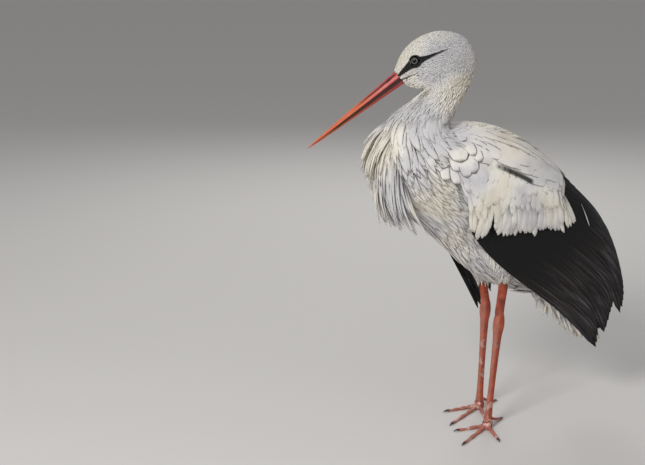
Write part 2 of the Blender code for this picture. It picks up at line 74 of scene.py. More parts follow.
# Body stations, head to vent: dorsal x, z, ventral x, z, half width, egg, share of the head's turn.
STATIONS = np.array((
    (-0.186, 0.660, -0.163, 0.635, 0.0120, 0.00, 1.00),  # bill base
    (-0.174, 0.689, -0.154, 0.6315, 0.0180, 0.05, 1.00),  # lores
    (-0.158, 0.709, -0.147, 0.630, 0.0235, 0.05, 1.00),  # eye
    (-0.134, 0.724, -0.141, 0.629, 0.0280, 0.00, 1.00),  # cheek
    (-0.103, 0.731, -0.137, 0.6285, 0.0315, 0.00, 1.00),  # crown
    (-0.066, 0.722, -0.1345, 0.6275, 0.0330, 0.00, 0.94),  # occiput
    (-0.044, 0.695, -0.136, 0.625, 0.0330, 0.00, 0.84),  # nape
    (-0.041, 0.667, -0.150, 0.6125, 0.0335, 0.00, 0.70),  # neck top
    (-0.051, 0.635, -0.168, 0.601, 0.0345, 0.00, 0.55),
    (-0.066, 0.607, -0.187, 0.589, 0.0380, 0.00, 0.40),  # neck middle
    (-0.080, 0.582, -0.202, 0.575, 0.0440, 0.00, 0.27),
    (-0.089, 0.564, -0.213, 0.556, 0.0540, 0.00, 0.14),  # neck base
    (-0.072, 0.556, -0.218, 0.522, 0.0660, 0.05, 0.00),  # shoulder
    (-0.035, 0.556, -0.214, 0.482, 0.0790, 0.10, 0.00),  # mantle
    (0.007, 0.544, -0.200, 0.446, 0.0860, 0.12, 0.00),  # back
    (0.048, 0.522, -0.170, 0.414, 0.0890, 0.12, 0.00),  # ribs
    (0.085, 0.492, -0.122, 0.375, 0.0880, 0.12, 0.00),  # loin
    (0.115, 0.458, -0.079, 0.333, 0.0830, 0.12, 0.00),  # flank
    (0.139, 0.420, -0.033, 0.291, 0.0720, 0.10, 0.00),  # belly
    (0.159, 0.380, 0.022, 0.262, 0.0570, 0.05, 0.00),  # vent
    (0.176, 0.342, 0.080, 0.242, 0.0430, 0.00, 0.00),  # rump
))
LAST_STATION = len(STATIONS) - 1.0

# Breast plumes: root station, reach round from the midline in degrees, tip x, z at the midline and outside.
PLUME_ROWS = np.array((
    (9.6, 36, -0.246, 0.540, -0.222, 0.541),
    (10.2, 36, -0.258, 0.496, -0.234, 0.492),
    (10.9, 36, -0.240, 0.470, -0.214, 0.458),
    (11.7, 36, -0.231, 0.435, -0.205, 0.424),
    (12.5, 36, -0.219, 0.400, -0.186, 0.394),
    (13.4, 34, -0.188, 0.381, -0.150, 0.381),
))


def curve_through(points, t):
    """Catmull-Rom curve: a cubic between neighbouring points whose slopes are half the step across them."""
    p = np.asarray(points, float)
    t = np.asarray(t, float)
    i = np.clip(np.floor(t).astype(int), 0, len(p) - 2)
    f = (t - i)[..., None]
    before, a, b, after = p[np.maximum(i - 1, 0)], p[i], p[i + 1], p[np.minimum(i + 2, len(p) - 1)]
    start, end = (b - before) / 2, (after - a) / 2
    return (a * (2 * f**3 - 3 * f**2 + 1) + start * (f**3 - 2 * f**2 + f)
            + b * (3 * f**2 - 2 * f**3) + end * (f**3 - f**2))


# Side hull of the folded wings: x, top z, depth to the widest place, half width.
HULL = np.array((
    (-0.168, 0.530, 0.105, 0.064),
    (-0.138, 0.546, 0.108, 0.084),
    (-0.100, 0.556, 0.110, 0.094),
    (-0.040, 0.564, 0.115, 0.102),
    (0.022, 0.548, 0.115, 0.103),
    (0.085, 0.509, 0.112, 0.098),
    (0.140, 0.459, 0.108, 0.089),
    (0.196, 0.404, 0.100, 0.078),
    (0.229, 0.359, 0.095, 0.069),
    (0.256, 0.300, 0.090, 0.060),
    (0.278, 0.234, 0.085, 0.052),
    (0.292, 0.150, 0.080, 0.046),
))
HULL = curve_through(HULL, np.linspace(0, len(HULL) - 1, 8 * len(HULL)))
HULL_TUCK = 1.5
HULL_POWER = 2.4
WING_TOP_Y = 0.0015
HANGING_ROOTS = ((-0.055, 0.430), (-0.070, 0.420), (-0.085, 0.405))
HANGING_BENDS = ((0.036, 0.330), (0.008, 0.302), (-0.016, 0.282))
HANGING_TIPS = ((0.066, 0.228), (0.048, 0.200), (0.030, 0.185))
HANGING_TIP_Y = 0.100
TAIL_TOP = ((0.180, 0.338), (0.213, 0.238), (0.224, 0.143))
TAIL_LOW = ((0.083, 0.243), (0.145, 0.200), (0.216, 0.139))
TAIL_LENGTH = 0.22
TAIL_HALF_WIDTH = 0.037
TAIL_SPREAD = 0.006  # what the half width gains towards the tip
THIGH_FLATNESS = 0.72  # a thigh's thickness as a share of its width

LEGS = {
    "left": {"top": (0.012, -0.045, 0.270), "ankle": (0.002, -0.045, ANKLE_HEIGHT),
             "foot": (-0.016, -0.047, 0.0), "hip": (0.000, -0.050, 0.345), "hem": 0.284},
    "right": {"top": (0.015, 0.045, 0.250), "ankle": (0.021, 0.045, ANKLE_HEIGHT),
              "foot": (0.016, 0.048, 0.0), "hip": (0.000, 0.050, 0.345), "hem": 0.260},
}
# Toes: heading in degrees from -X towards -Y, length with no claw, claw, joints between the phalanges.
TOES = {
    "left": {"middle": (37, 0.091, 0.014, 3), "inner": (-1, 0.057, 0.012, 2), "outer": (81, 0.061, 0.012, 4),
             "hind": (210, 0.045, 0.012, 1)},
    "right": {"middle": (35, 0.103, 0.014, 3), "inner": (74, 0.057, 0.012, 2), "outer": (1, 0.066, 0.012, 4),
              "hind": (199, 0.041, 0.012, 1)},
}
SIDES = {"left": -1, "right": 1}

# ---------------------------------------- markings, in the side view of the unturned head

# Black mask from the bill through the eye to a line behind it: x, z, half height.
EYE_MASK = np.array((
    (-0.1770, 0.6540, 0.0024), (-0.1680, 0.6630, 0.0042), (-0.1585, 0.6720, 0.0064),
    (-0.1490, 0.6798, 0.0112), (-0.1375, 0.6836, 0.0052), (-0.1270, 0.6882, 0.0033),
    (-0.1110, 0.6950, 0.0019), (-0.0930, 0.7020, 0.0004),
))
# Thin dark line that carries the mouth back under the eye: x, z, half height.
GAPE_LINE = np.array(((-0.1760, 0.6455, 0.0013), (-0.1647, 0.6500, 0.0012), (-0.1440, 0.6602, 0.0004)))
# The coverts' scalloped lower edge with the front lobe and the notch behind it: x, z.
COVERT_EDGE = np.array((
    (-0.0970, 0.4090), (-0.0862, 0.3915), (-0.0758, 0.3810), (-0.0658, 0.3773), (-0.0580, 0.3835),
    (-0.0530, 0.3960), (-0.0505, 0.4250), (-0.0475, 0.4266), (-0.0445, 0.4080), (-0.0380, 0.3910),
    (-0.0289, 0.3835), (-0.0147, 0.3797), (0.0018, 0.3850), (0.0241, 0.3813), (0.0481, 0.3835),
    (0.0670, 0.3827), (0.0924, 0.3838), (0.1109, 0.3823), (0.1249, 0.3894),
))
NOTCH = (-0.062, -0.030)
HEAD_MARK_FLOOR = 0.64  # no black marking lies lower on the head
WHITE_EDGE = np.array(((0.1572, 0.3792), (0.1455, 0.4131)))  # tip and root of a white feather's edge
# Front and rear edge of the coverts: z, x.
COVERT_FRONT = np.array((
    (0.380, -0.088), (0.409, -0.098), (0.4294, -0.106), (0.4563, -0.117), (0.4891, -0.127), (0.550, -0.140),
))
COVERT_REAR = np.array((
    (0.380, 0.127), (0.3894, 0.1255), (0.4469, 0.0920), (0.456, 0.108), (0.480, 0.128), (0.560, 0.140),
))
# Rounded shoulder feathers, the lowest first: tip x, z, heading x, z, length, half width, height.
SHOULDER_FEATHERS = np.array((
    (-0.1310, 0.4830, -0.12, -1.0, 0.040, 0.0110, 0.0012),
    (-0.1120, 0.4760, -0.05, -1.0, 0.046, 0.0150, 0.0014),
    (-0.0830, 0.4930, 0.25, -1.0, 0.062, 0.0150, 0.0014),
    (-0.0700, 0.5100, 0.35, -0.95, 0.054, 0.0110, 0.0018),
    (-0.0970, 0.4870, 0.05, -1.0, 0.046, 0.0120, 0.0024),
    (-0.1110, 0.4960, -0.05, -1.0, 0.040, 0.0140, 0.0028),
    (-0.0800, 0.5190, 0.20, -1.0, 0.046, 0.0105, 0.0030),
    (-0.1330, 0.5020, -0.25, -0.97, 0.044, 0.0120, 0.0024),
    (-0.1060, 0.5100, -0.10, -1.0, 0.058, 0.0190, 0.0042),
    (-0.0870, 0.5410, 0.10, -1.0, 0.034, 0.0085, 0.0026),
))
# Black flight feathers from the topmost tertial to the lowest primary: x, z of root, two bends and tip.
FLIGHT = np.array((
    (0.092, 0.494, 0.150, 0.455, 0.196, 0.413, 0.234, 0.362),
    (0.080, 0.470, 0.150, 0.430, 0.210, 0.385, 0.246, 0.318),
    (0.060, 0.450, 0.140, 0.405, 0.222, 0.352, 0.256, 0.272),
    (0.035, 0.435, 0.125, 0.385, 0.228, 0.330, 0.259, 0.234),
    (0.010, 0.422, 0.105, 0.360, 0.222, 0.300, 0.2515, 0.199),
    (-0.015, 0.415, 0.080, 0.348, 0.198, 0.288, 0.231, 0.2125),
    (-0.042, 0.425, 0.050, 0.330, 0.184, 0.266, 0.222, 0.1615),
    (-0.060, 0.418, 0.020, 0.315, 0.158, 0.250, 0.2104, 0.1784),
    (-0.078, 0.395, -0.012, 0.303, 0.136, 0.248, 0.2130, 0.1275),
))
FIRST_PRIMARY = 4
# Crease between the scapulars and the coverts, sunk into them and darkened with painted shade: x, z, half
# width.
CREASE = np.array((
    (-0.0487, 0.5096, 0.0004), (-0.0257, 0.5002, 0.0026), (0.0028, 0.4866, 0.0028), (0.0278, 0.4728, 0.0004),
))
# Painted shade of the crease: its bow, soft margin and darkness. Then its depth and width in the coverts.
CREASE_BOW = 0.0017
CREASE_SOFT = 0.0072
CREASE_DARK = 0.94
CREASE_DEPTH = 0.0022
CREASE_WIDTH = 0.009
COVERT_BASE = 0.0024  # the coverts' least height over the hull
COVERT_SWELL = 0.0076  # what the cushion adds
FLESH_UNDER_COVERTS = 0.0052
FLESH_INSIDE_HULL = 0.0060
THIGH_MARGIN = 0.005  # how far the skin lies inside the outline of the thighs and of the tail
TAIL_MARGIN = 0.006
SKIN_ROWS = 300
SKIN_COLUMNS = 176
EYE_AXIS = np.array((-0.24, 0.96, 0.10))  # outwards through the pupil; y takes the side's sign
LID_OPENING = 0.0062  # half width of the gap between the lids
LID_RIM = 0.0071  # where the rim round it is highest
LID_FADE = 0.0108  # where the lids have merged into the head
LID_LIFT = 0.0009  # the lids' height over the eyeball
LID_ROLL = 0.0007  # what the rim adds
LID_HOLLOW = 0.0022  # how far the skin behind the gap lies inside the ball
LID_BARE = (0.0101, 0.0106)  # no head feather, and no root of one, comes nearer to the eye's centre


# ---------------------------------------- body surfaces

def across(table, share):
    """A point on the curve through the table at a share, 0 to 1, of its whole run."""
    return curve_through(table, np.asarray(share, float) * (len(table) - 1))


def turned(points, angle):
    """Points turned about the neck's vertical line, towards the bird's right for a positive angle."""
    x, y = points[..., 0] - NECK_PIVOT_X, points[..., 1]
    c, s = np.cos(-angle), np.sin(-angle)
    return np.stack((NECK_PIVOT_X + c * x - s * y, s * x + c * y, points[..., 2]), -1)


def unit(vectors):
    """Vectors scaled to length one."""
    return vectors / np.maximum(np.linalg.norm(vectors, axis=-1, keepdims=True), 1e-12)


def smooth(value, low, high):
    """0 below low, 1 above high, and an S-shaped cubic between."""
    f = np.clip((value - low) / (high - low), 0.0, 1.0)
    return f * f * (3 - 2 * f)


def body(station, degrees, grow=0.0):
    """The body's surface: an ellipse between the dorsal and ventral points of a station, widened by the half
    width, egg-shaped towards the back, grown outwards, and turned with the head."""
    station, degrees, grow = np.broadcast_arrays(np.asarray(station, float), degrees, grow)
    row = curve_through(STATIONS, station)
    middle = (row[..., 0:2] + row[..., 2:4]) / 2
    axis = (row[..., 0:2] - row[..., 2:4]) / 2
    axis = axis * (1 + grow / np.linalg.norm(axis, axis=-1))[..., None]
    a = np.radians(degrees)
    xz = middle + axis * np.cos(a)[..., None]
    y = -(row[..., 4] + grow) * np.sin(a) * (1 + row[..., 5] * np.cos(a))
    return turned(np.stack((xz[..., 0], y, xz[..., 1]), -1), row[..., 6] * HEAD_TURN)


def body_normal(station, degrees, grow=0.0):
    """Outward normal of the body, the cross product of its two slopes, leaned a little towards straight out
    because the stations crowd together at the throat."""
    here = body(station, degrees, grow)
    along = unit(body(station + 0.05, degrees, grow) - here)
    around = unit(body(station, degrees + 1.0, grow) - here)
    out = unit(body(station, degrees, np.asarray(grow) + 0.002) - here)
    return unit(np.cross(around, along) + 0.4 * out)


def body_speed(station, degrees):
    """Metres along the surface for each station."""
    return np.linalg.norm(body(station + 0.1, degrees) - body(station - 0.1, degrees), axis=-1) / 0.2


def coat_depth(station):
    """How far the skin lies inside the body's outline."""
    return np.interp(station, (0, 2.5, 5, 8, 11, 20), (0.0006, 0.0012, 0.0022, 0.0045, 0.0065, 0.0070))


def hull_at(x):
    """(ridge height, depth to the widest place, half width) of the side hull over x."""
    return [np.interp(x, HULL[:, 0], HULL[:, k]) for k in (1, 2, 3)]


def hull_top(x):
    """Height of the back's ridge over x."""
    return hull_at(x)[0]


def hull_y(x, z):
    """How far the side hull lies from the midline: a superellipse above its widest place, tucked in below."""
    top, depth, half = hull_at(x)
    above = np.clip((z - (top - depth)) / depth, 0.0, 1.0)
    below = np.maximum((top - depth) - z, 0.0)
    crowned = half * (1 - above**HULL_POWER) ** (1 / HULL_POWER)
    return np.maximum(crowned - HULL_TUCK * below**2 * half / 0.1, WING_TOP_Y + 0.0025)


def drape(x, z, lift, side):
    """(point, normal) of a side-view point laid on the hull and lifted off it. side is -1 or 1."""
    step = 0.002
    x, z, lift = np.broadcast_arrays(np.asarray(x, float), z, lift)
    y = hull_y(x, z)
    slope_x = (hull_y(x + step, z) - hull_y(x - step, z)) / (2 * step)
    slope_z = np.clip((hull_y(x, z + step) - hull_y(x, z - step)) / (2 * step), -3.0, 3.0)
    normal = unit(np.stack((-slope_x, np.ones_like(slope_x), -slope_z), -1))
    p = np.stack((x, y, z), -1) + normal * lift[..., None]
    p[..., 1] = np.maximum(p[..., 1], WING_TOP_Y - 0.001)
    flip = np.array((1.0, side, 1.0))
    return p * flip, normal * flip


def bed_xz(u, v):
    """Side-view place on the shoulder's flesh: u from its front edge to the rear, v from the back down to the
    scallops. Its front edge bulges by a sine."""
    top_x = -0.058 + 0.172 * u
    bottom_x = -0.100 + 0.230 * u
    top_z = hull_top(top_x)
    bottom_z = 0.393 - 0.006 * (np.abs(u - 0.12) < 0.09)
    bulge = 0.048 * np.sin(math.pi * np.clip(v, 0, 1)) * np.clip(1 - u, 0, 1.3) ** 3
    x = top_x * (1 - v) + bottom_x * v - bulge
    z = top_z + (bottom_z - top_z) * (0.35 * v**2 + 0.65 * v)
    return x, z


def covert_edge(x, notched=True):
    """Height of the coverts' scalloped lower edge over x, with or without the notch."""
    table = COVERT_EDGE[notched | (COVERT_EDGE[:, 0] < NOTCH[0]) | (COVERT_EDGE[:, 0] > NOTCH[1])]
    return np.interp(x, table[:, 0], table[:, 1])


def covert_height(x, z):
    """The coverts' height over the hull: a cushion that rounds down to its edges and to the back's ridge,
    and is sunk along the crease."""
    top = hull_top(x)
    inside = np.minimum(np.minimum(z - covert_edge(x, False), x - np.interp(z, *COVERT_FRONT.T)),
                        np.interp(z, *COVERT_REAR.T) - x)
    swell = smooth(inside, -0.004, 0.032) * smooth(top - z, -0.004, 0.045)
    return COVERT_BASE + COVERT_SWELL * swell - CREASE_DEPTH * along_line(x, z, CREASE, CREASE_WIDTH)


def along_line(x, z, line, soft):
    """1 on a side-view line of given half widths, falling smoothly to 0 over a soft margin."""
    mask = np.zeros(np.shape(x))
    for a, b in zip(line, line[1:]):
        run = b[:2] - a[:2]
        share = np.clip(((x - a[0]) * run[0] + (z - a[1]) * run[1]) / (run @ run), 0.0, 1.0)
        gap = np.hypot(x - a[0] - share * run[0], z - a[1] - share * run[1]) - (a[2] + (b[2] - a[2]) * share)
        mask = np.maximum(mask, 1 - smooth(gap, -soft / 2, soft))
    return mask


def markings(points):
    """Black share of the plumage at points: the eye mask and the gape line on the head."""
    head = turned(points, -HEAD_TURN)
    x, z = head[..., 0], head[..., 2]
    mark = np.maximum(along_line(x, z, EYE_MASK, 0.0007), 0.9 * along_line(x, z, GAPE_LINE, 0.0005))
    return mark * (z > HEAD_MARK_FLOOR)


EYE_CENTRES = {name: turned(np.array((EYE_PLACE[0], side * EYE_OUT, EYE_PLACE[1])), HEAD_TURN)
               for name, side in SIDES.items()}
PLACE = np.array(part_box("eye_left")).mean(0) - EYE_CENTRES["left"]  # from the stance point to the frame


# ---------------------------------------- meshes

def new_object(name, data):
    """Links a mesh, light or camera into the scene."""
    made = bpy.data.objects.new(name, data)
    bpy.context.scene.collection.objects.link(made)
    return made


def settle(mesh, points, values):
    """Places a mesh's points in the frame and keeps values on them: a number or a vector for each."""
    mesh.vertices.foreach_set("co", (points + PLACE).astype(np.float32).ravel())
    for key, value in values.items():
        vector = np.ndim(value) == 2
        made = mesh.attributes.new(key, "FLOAT_VECTOR" if vector else "FLOAT", "POINT")
        data = np.ascontiguousarray(value, np.float32).ravel()
        made.data.foreach_set("vector" if vector else "value", data)
    mesh.update()
    mesh.shade_smooth()


def add_piece(name, points, quads, tris, material, slot, replaced, values, patch=None):
    """A mesh from arrays, riding on the body, with values on its points. patch is the
    OFBake place of each."""
    mesh = bpy.data.meshes.new(name)
    loops = np.concatenate((np.ravel(quads), np.ravel(tris))).astype(np.int32)
    starts = np.concatenate((np.arange(len(quads)) * 4, 4 * len(quads) + np.arange(len(tris)) * 3))
    mesh.vertices.add(len(points))
    mesh.loops.add(len(loops))
    mesh.loops.foreach_set("vertex_index", loops)
    mesh.polygons.add(len(starts))
    mesh.polygons.foreach_set("loop_start", starts.astype(np.int32))
    mesh.update(calc_edges=True)
    settle(mesh, points, values)
    if patch is not None:
        layer = mesh.uv_layers.new(name="OFBake")
        layer.data.foreach_set("uv", patch[loops].astype(np.float32).ravel())
    finish_piece(new_object(name, mesh), material, replaced)


def finish_piece(piece, material, replaced):
    """Gives a piece its material and its place in the frame's table."""
    piece.data.materials.clear()
    piece.data.materials.append(material)
    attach(piece, "root")
    if replaced:
        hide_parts(*replaced)


def grid_faces(rows, columns):
    """Quads of a grid whose columns close round, facing out when the columns run
    clockwise seen from its end."""
    i, j = np.meshgrid(np.arange(rows - 1) * columns, np.arange(columns), indexing="ij")
    k = (j + 1) % columns
    return np.stack((i + j, i + k, i + columns + k, i + columns + j), -1).reshape(-1, 4)


def closed_tube(rings):
    """(points, quads, tris) of a stack of rings, closed at both ends by a fan round each end's middle."""
    rows, columns = rings.shape[:2]
    points = np.concatenate((rings.reshape(-1, 3), rings[:1].mean(1), rings[-1:].mean(1)))
    j = np.arange(columns)
    k = (j + 1) % columns
    start, last = rows * columns, (rows - 1) * columns
    near = np.stack((np.full(columns, start), k, j), -1)
    far = np.stack((np.full(columns, start + 1), last + j, last + k), -1)
    return facing_out(points, grid_faces(rows, columns), np.concatenate((near, far)))


def facing_out(points, quads, tris):
    """Turns all faces over if the solid they close has a negative volume."""
    fans = np.concatenate((quads[:, (0, 1, 2)], quads[:, (0, 2, 3)], tris))
    a, b, c = (points[fans[:, i]] for i in range(3))
    if np.sum(a * np.cross(b, c)) < 0:
        quads, tris = quads[:, ::-1], tris[:, ::-1]
    return points, quads, tris


def feather_faces(rows, columns):
    """(quads, tris) of one feather: a flattened tube of rings, with its two ends closed."""
    ring = 2 * columns - 2
    quads = grid_faces(rows, ring)
    top = np.arange(columns)
    under = np.where((top == 0) | (top == columns - 1), top, ring - top)
    a, b, c, d = top[:-1], under[:-1], under[1:], top[1:]
    tris = np.concatenate((np.stack((a, b, c), -1), np.stack((a, c, d), -1)))
    tris = tris[(tris[:, 0] != tris[:, 1]) & (tris[:, 1] != tris[:, 2]) & (tris[:, 0] != tris[:, 2])]
    return quads, np.concatenate((tris, tris[:, ::-1] + (rows - 1) * ring))


BAKE_PATCH = 0.003  # size of a feather's patch in the OFBake map


def make_feathers(name, line, normal, half, root_patch, tone, paint="white", columns=5, thick=0.0002,
                  cup=0.16, jag=None, shaft=0.0, replaced=(), dark=1.0, rim=0.0, tan=0.0, roll=0.0):
    """Many feathers as one mesh. line holds the points down each feather's middle, normal the way it
    faces and half its half widths. Across the vane a point is middle + side * s * half + up * (cup *
    half * (1 - s^2) + roll * s * half +- thickness), with s from -1 to 1, and jag moves the tip's
    points along the feather. dark is how deep the painted shade at the root is, and it also scales the
    grey streaks, the random grey feathers and the painted shade along the vane's edges; rim is how dark
    the painted shadow round the feather's outline is, and tan how brown it is."""
    count, rows = half.shape
    along = unit(np.gradient(line, axis=1))
    side = unit(np.cross(along, normal))
    up = np.cross(side, along)
    s = np.linspace(-1, 1, columns)
    lens = 1 - s**2
    wide = half[..., None]
    arch = (np.reshape(cup, (-1, 1, 1)) * lens + roll * s) * wide
    deep = thick * np.sqrt(lens) + shaft * (np.abs(s) < 1e-6)
    flat = line[:, :, None] + side[:, :, None] * (s * wide)[..., None]
    top, under = (flat + up[:, :, None] * (arch + way * deep)[..., None] for way in (1, -1))
    if jag is not None:
        push = along[:, -1:, None] * jag[:, None, :, None]
        top[:, -1:] += push
        under[:, -1:] += push
    inner = slice(columns - 2, 0, -1)
    rings = np.concatenate((top, under[:, :, inner]), 2)
    shape = rings.shape[:3]
    points = rings.reshape(-1, 3)
    quads, tris = feather_faces(rows, columns)
    step = (np.arange(count) * rows * shape[2])[:, None, None]
    quads, tris = (quads + step).reshape(-1, 4), (tris + step).reshape(-1, 3)
    t = np.broadcast_to(np.linspace(0, 1, rows)[None, :, None], shape)
    s_ring = np.broadcast_to(np.concatenate((s, s[inner])), shape)
    tone, dark, rim, tan = (np.broadcast_to(np.reshape(v, (-1, 1, 1)), shape) for v in (tone, dark, rim, tan))
    values = {"vane": np.stack((t, s_ring, tone), -1).reshape(-1, 3), "dark": dark, "rim": rim, "tan": tan,
              "mark": markings(points)}
    patch = (root_patch[:, None, None] + BAKE_PATCH * np.stack((s_ring / 2, t), -1)).reshape(-1, 2)
    add_piece(name, points, quads, tris, PAINTS[paint](), f"{paint} plumage", replaced, values, patch)


# ---------------------------------------- materials

class Wire:
    """A shader socket that adds Math nodes when it is used in arithmetic."""

    def __init__(self, nodes, socket):
        self.nodes, self.socket = nodes, socket

    def math(self, operation, *values):
        return self.nodes.add("ShaderNodeMath", {"operation": operation}, dict(enumerate((self, *values))))

    def __add__(self, other):
        return self.math("ADD", other)

    def __sub__(self, other):
        return self.math("SUBTRACT", other)

    def __rsub__(self, other):
        return self.nodes.add("ShaderNodeMath", {"operation": "SUBTRACT"}, {0: other, 1: self})

    def __mul__(self, other):
        return self.math("MULTIPLY", other)

    __radd__, __rmul__ = __add__, __mul__

    def __truediv__(self, other):
        return self.math("DIVIDE", other)

    def step(self, low, high):
        """0 below low, 1 above high and smooth between."""
        return self.nodes.add("ShaderNodeMapRange", {"interpolation_type": "SMOOTHSTEP"},
                              {"Value": self, "From Min": low, "From Max": high})

    def wave(self):
        """The sine, brought to 0 to 1."""
        return self.math("SINE") * 0.5 + 0.5

    def size(self):
        return self.math("ABSOLUTE")

    def larger(self, other):
        return self.math("MAXIMUM", other)


class Nodes:
    """The node tree of one material. Colours go by their names in the settings."""

    def __init__(self, name, settings):
        self.settings = settings
        self.material = bpy.data.materials.new(name)
        self.material.use_nodes = True
        self.tree = self.material.node_tree
        self.shader = self.tree.nodes["Principled BSDF"]

    def add(self, kind, settings=None, inputs=None, output=0):
        """A node of a kind: its settings first, then its sockets' values or links."""
        node = self.tree.nodes.new(kind)
        for key, value in (settings or {}).items():
            setattr(node, key, value)
        for key, value in (inputs or {}).items():
            self.join(node.inputs[key], value)
        return Wire(self, node.outputs[output])

    def join(self, socket, value):
        """Links a wire to a socket, or sets the socket's value or named colour."""
        if isinstance(value, Wire):
            self.tree.links.new(value.socket, socket)
        elif isinstance(value, str):
            socket.default_value = (*getattr(self.settings, value), 1.0)
        else:
            socket.default_value = value

    def finish(self, **sockets):
        """Sets the shader's sockets, whose names are written with underscores."""
        for key, value in sockets.items():
            self.join(self.shader.inputs[key.replace("_", " ")], value)
        return self.material

    def place(self):
        return self.add("ShaderNodeTexCoord", output="Object")

    def attribute(self, name):
        """A number kept on the mesh's points."""
        return self.add("ShaderNodeAttribute", {"attribute_name": name}, output="Fac")

    def vane(self):
        """(along, across, tone) of a feather."""
        return self.split(self.add("ShaderNodeAttribute", {"attribute_name": "vane"}, output="Vector"))

    def split(self, vector):
        """The three numbers of a vector."""
        return [self.add("ShaderNodeSeparateXYZ", {}, {0: vector}, axis) for axis in "XYZ"]

    def vector(self, x, y, z):
        return self.add("ShaderNodeCombineXYZ", {}, {0: x, 1: y, 2: z})

    def noise(self, vector, scale, detail=2.0):
        return self.add("ShaderNodeTexNoise", {}, {"Vector": vector, "Scale": scale, "Detail": detail}, "Fac")

    def mix(self, factor, a, b):
        """Colour a turning into colour b. A Mix node's colours go in at 6 and 7 and come out at 2."""
        return self.add("ShaderNodeMix", {"data_type": "RGBA"}, {0: factor, 6: a, 7: b}, 2)

    def bump(self, height, distance, strength=1.0):
        return self.add("ShaderNodeBump", {}, {"Height": height, "Distance": distance, "Strength": strength})


def shared(name, group):
    """Keeps a finish under its name, so that pieces share it. group is the settings that hold its colours."""
    def wrap(paint):
        def finish():
            return bpy.data.materials.get(name) or paint(Nodes(name, getattr(bpy.context.scene, group)))
        return finish
    return wrap


def crease_shade(n):
    """Painted shade in the slit between scapulars and coverts: a lens along a line in the side view
    that is bowed by a sine."""
    x, y, z = n.split(n.place())
    start, end = CREASE[0, :2] + PLACE[[0, 2]], CREASE[-1, :2] + PLACE[[0, 2]]
    run = (end - start) / np.linalg.norm(end - start)
    share = ((x - start[0]) * run[0] + (z - start[1]) * run[1]) / np.linalg.norm(end - start)
    inside = share.larger(0.0).math("MINIMUM", 1.0)
    lens = inside * (1 - inside) * 4.0
    off = (z - start[1]) * run[0] - (x - start[0]) * run[1] - lens * CREASE_BOW
    slit = 1 - (off.size() / CREASE_SOFT).step(0.25, 1.0)
    return slit * lens.step(0.0, 0.36) * (inside.step(0.0, 0.40) * 0.6 + 0.4) * y.size().step(0.055, 0.065)


@shared("white feathers", "stork_plumage")
def white_feather(n):
    """White feathers: grey streaks along the vane, painted shade in grey and bluish-grey patches, along the
    vane's edges and at the root, painted shadow round the outline where they are large, and a warm tint on
    the back. Barbs run out and forward from the shaft as fine ridges."""
    along, side, tone = n.vane()
    mark, dark, rim, tan = (n.attribute(key) for key in ("mark", "dark", "rim", "tan"))
    x, _, z = n.split(n.place())
    streaks = n.noise(n.vector(along * 1.3 + tone * 31.0, side * 2.6 + tone * 57.0, tone * 91.0), 1.6, 3.0)
    patches = n.noise(n.place(), 26.0, 3.0)
    broad = n.noise(n.place(), 11.0, 2.0)
    root = 1 - along.step(0.05, 0.62)
    edge = side.size().step(0.70, 1.0)
    # Grey streaks along each vane and random grey feathers, with painted shade: grey patches and darkened
    # vane edges.
    streaks_and_shade = (streaks.step(0.46, 0.74) * (dark * 0.34 + 0.10) + patches.step(0.50, 0.66) * 0.42
            + edge * dark * 0.10 + tone.step(0.62, 1.0) * dark * 0.30)
    colour = n.mix(streaks_and_shade, "white", "grey")
    # Painted shade: broad bluish-grey patches.
    colour = n.mix(broad.step(0.46, 0.62) * 0.55, colour, "cool_shade")
    back = z.step(0.47, 0.55) * x.step(-0.07, 0.02)
    warm = (1 - broad.step(0.38, 0.54)) * 0.45 + back * 0.35
    colour = n.mix(warm, colour, "warm")
    colour = n.mix(tan * patches.step(0.25, 0.60), colour, "tan")
    # Painted shade at each feather's root, where the feathers above cover it.
    colour = n.mix(root * dark * 0.88, colour, "shadow")
    # Painted shadow round the feather's outline, as deep as its rim.
    outline = along.step(0.86, 1.0).larger(side.size().step(0.78, 0.98))
    colour = n.mix(outline * rim, colour, "shadow")
    # The black eye mask, and the crease's painted shade.
    colour = n.mix(mark + crease_shade(n) * CREASE_DARK, colour, "black")
    ridge = (side.size() * 41.0 - along * 74.0 + tone * 9.0).wave()
    height = ridge * 0.5 + streaks * 1.2
    return n.finish(Base_Color=colour, Roughness=0.80, Normal=n.bump(height, 0.00035, 0.45),
                    Sheen_Weight=0.12, Specular_IOR_Level=0.25)


@shared("black feathers", "stork_plumage")
def black_feather(n):
    """Black flight feathers: glossier than the white ones, with painted sheen in brown and pale steel-grey
    streaks along the vane, most of it towards the tips."""
    along, side, tone = n.vane()
    streaks = n.noise(n.vector(along * 1.2 + tone * 17.0, side * 4.0 + tone * 43.0, tone * 71.0), 1.5, 3.0)
    fine = n.noise(n.vector(along * 2.2 + tone * 7.0, side * 11.0, tone * 29.0), 1.8, 2.0)
    # Painted sheen: brown streaks towards the tips.
    colour = n.mix(streaks.step(0.50, 0.72) * along.step(0.30, 0.62) * 0.85, "black", "brown")
    # Painted sheen: fine steel-grey highlights over the vane's outer half.
    gloss = fine.step(0.54, 0.68) * along.step(0.42, 0.72) * (1 - along.step(0.90, 1.0))
    colour = n.mix(gloss * 0.85, colour, "steel")
    ridge = (side.size() * 64.0 - along * 150.0).wave()
    height = ridge * 0.5 + fine * 1.4
    return n.finish(Base_Color=colour, Roughness=0.50 + streaks * 0.22, Normal=n.bump(height, 0.0004, 0.6),
                    Specular_IOR_Level=0.22)


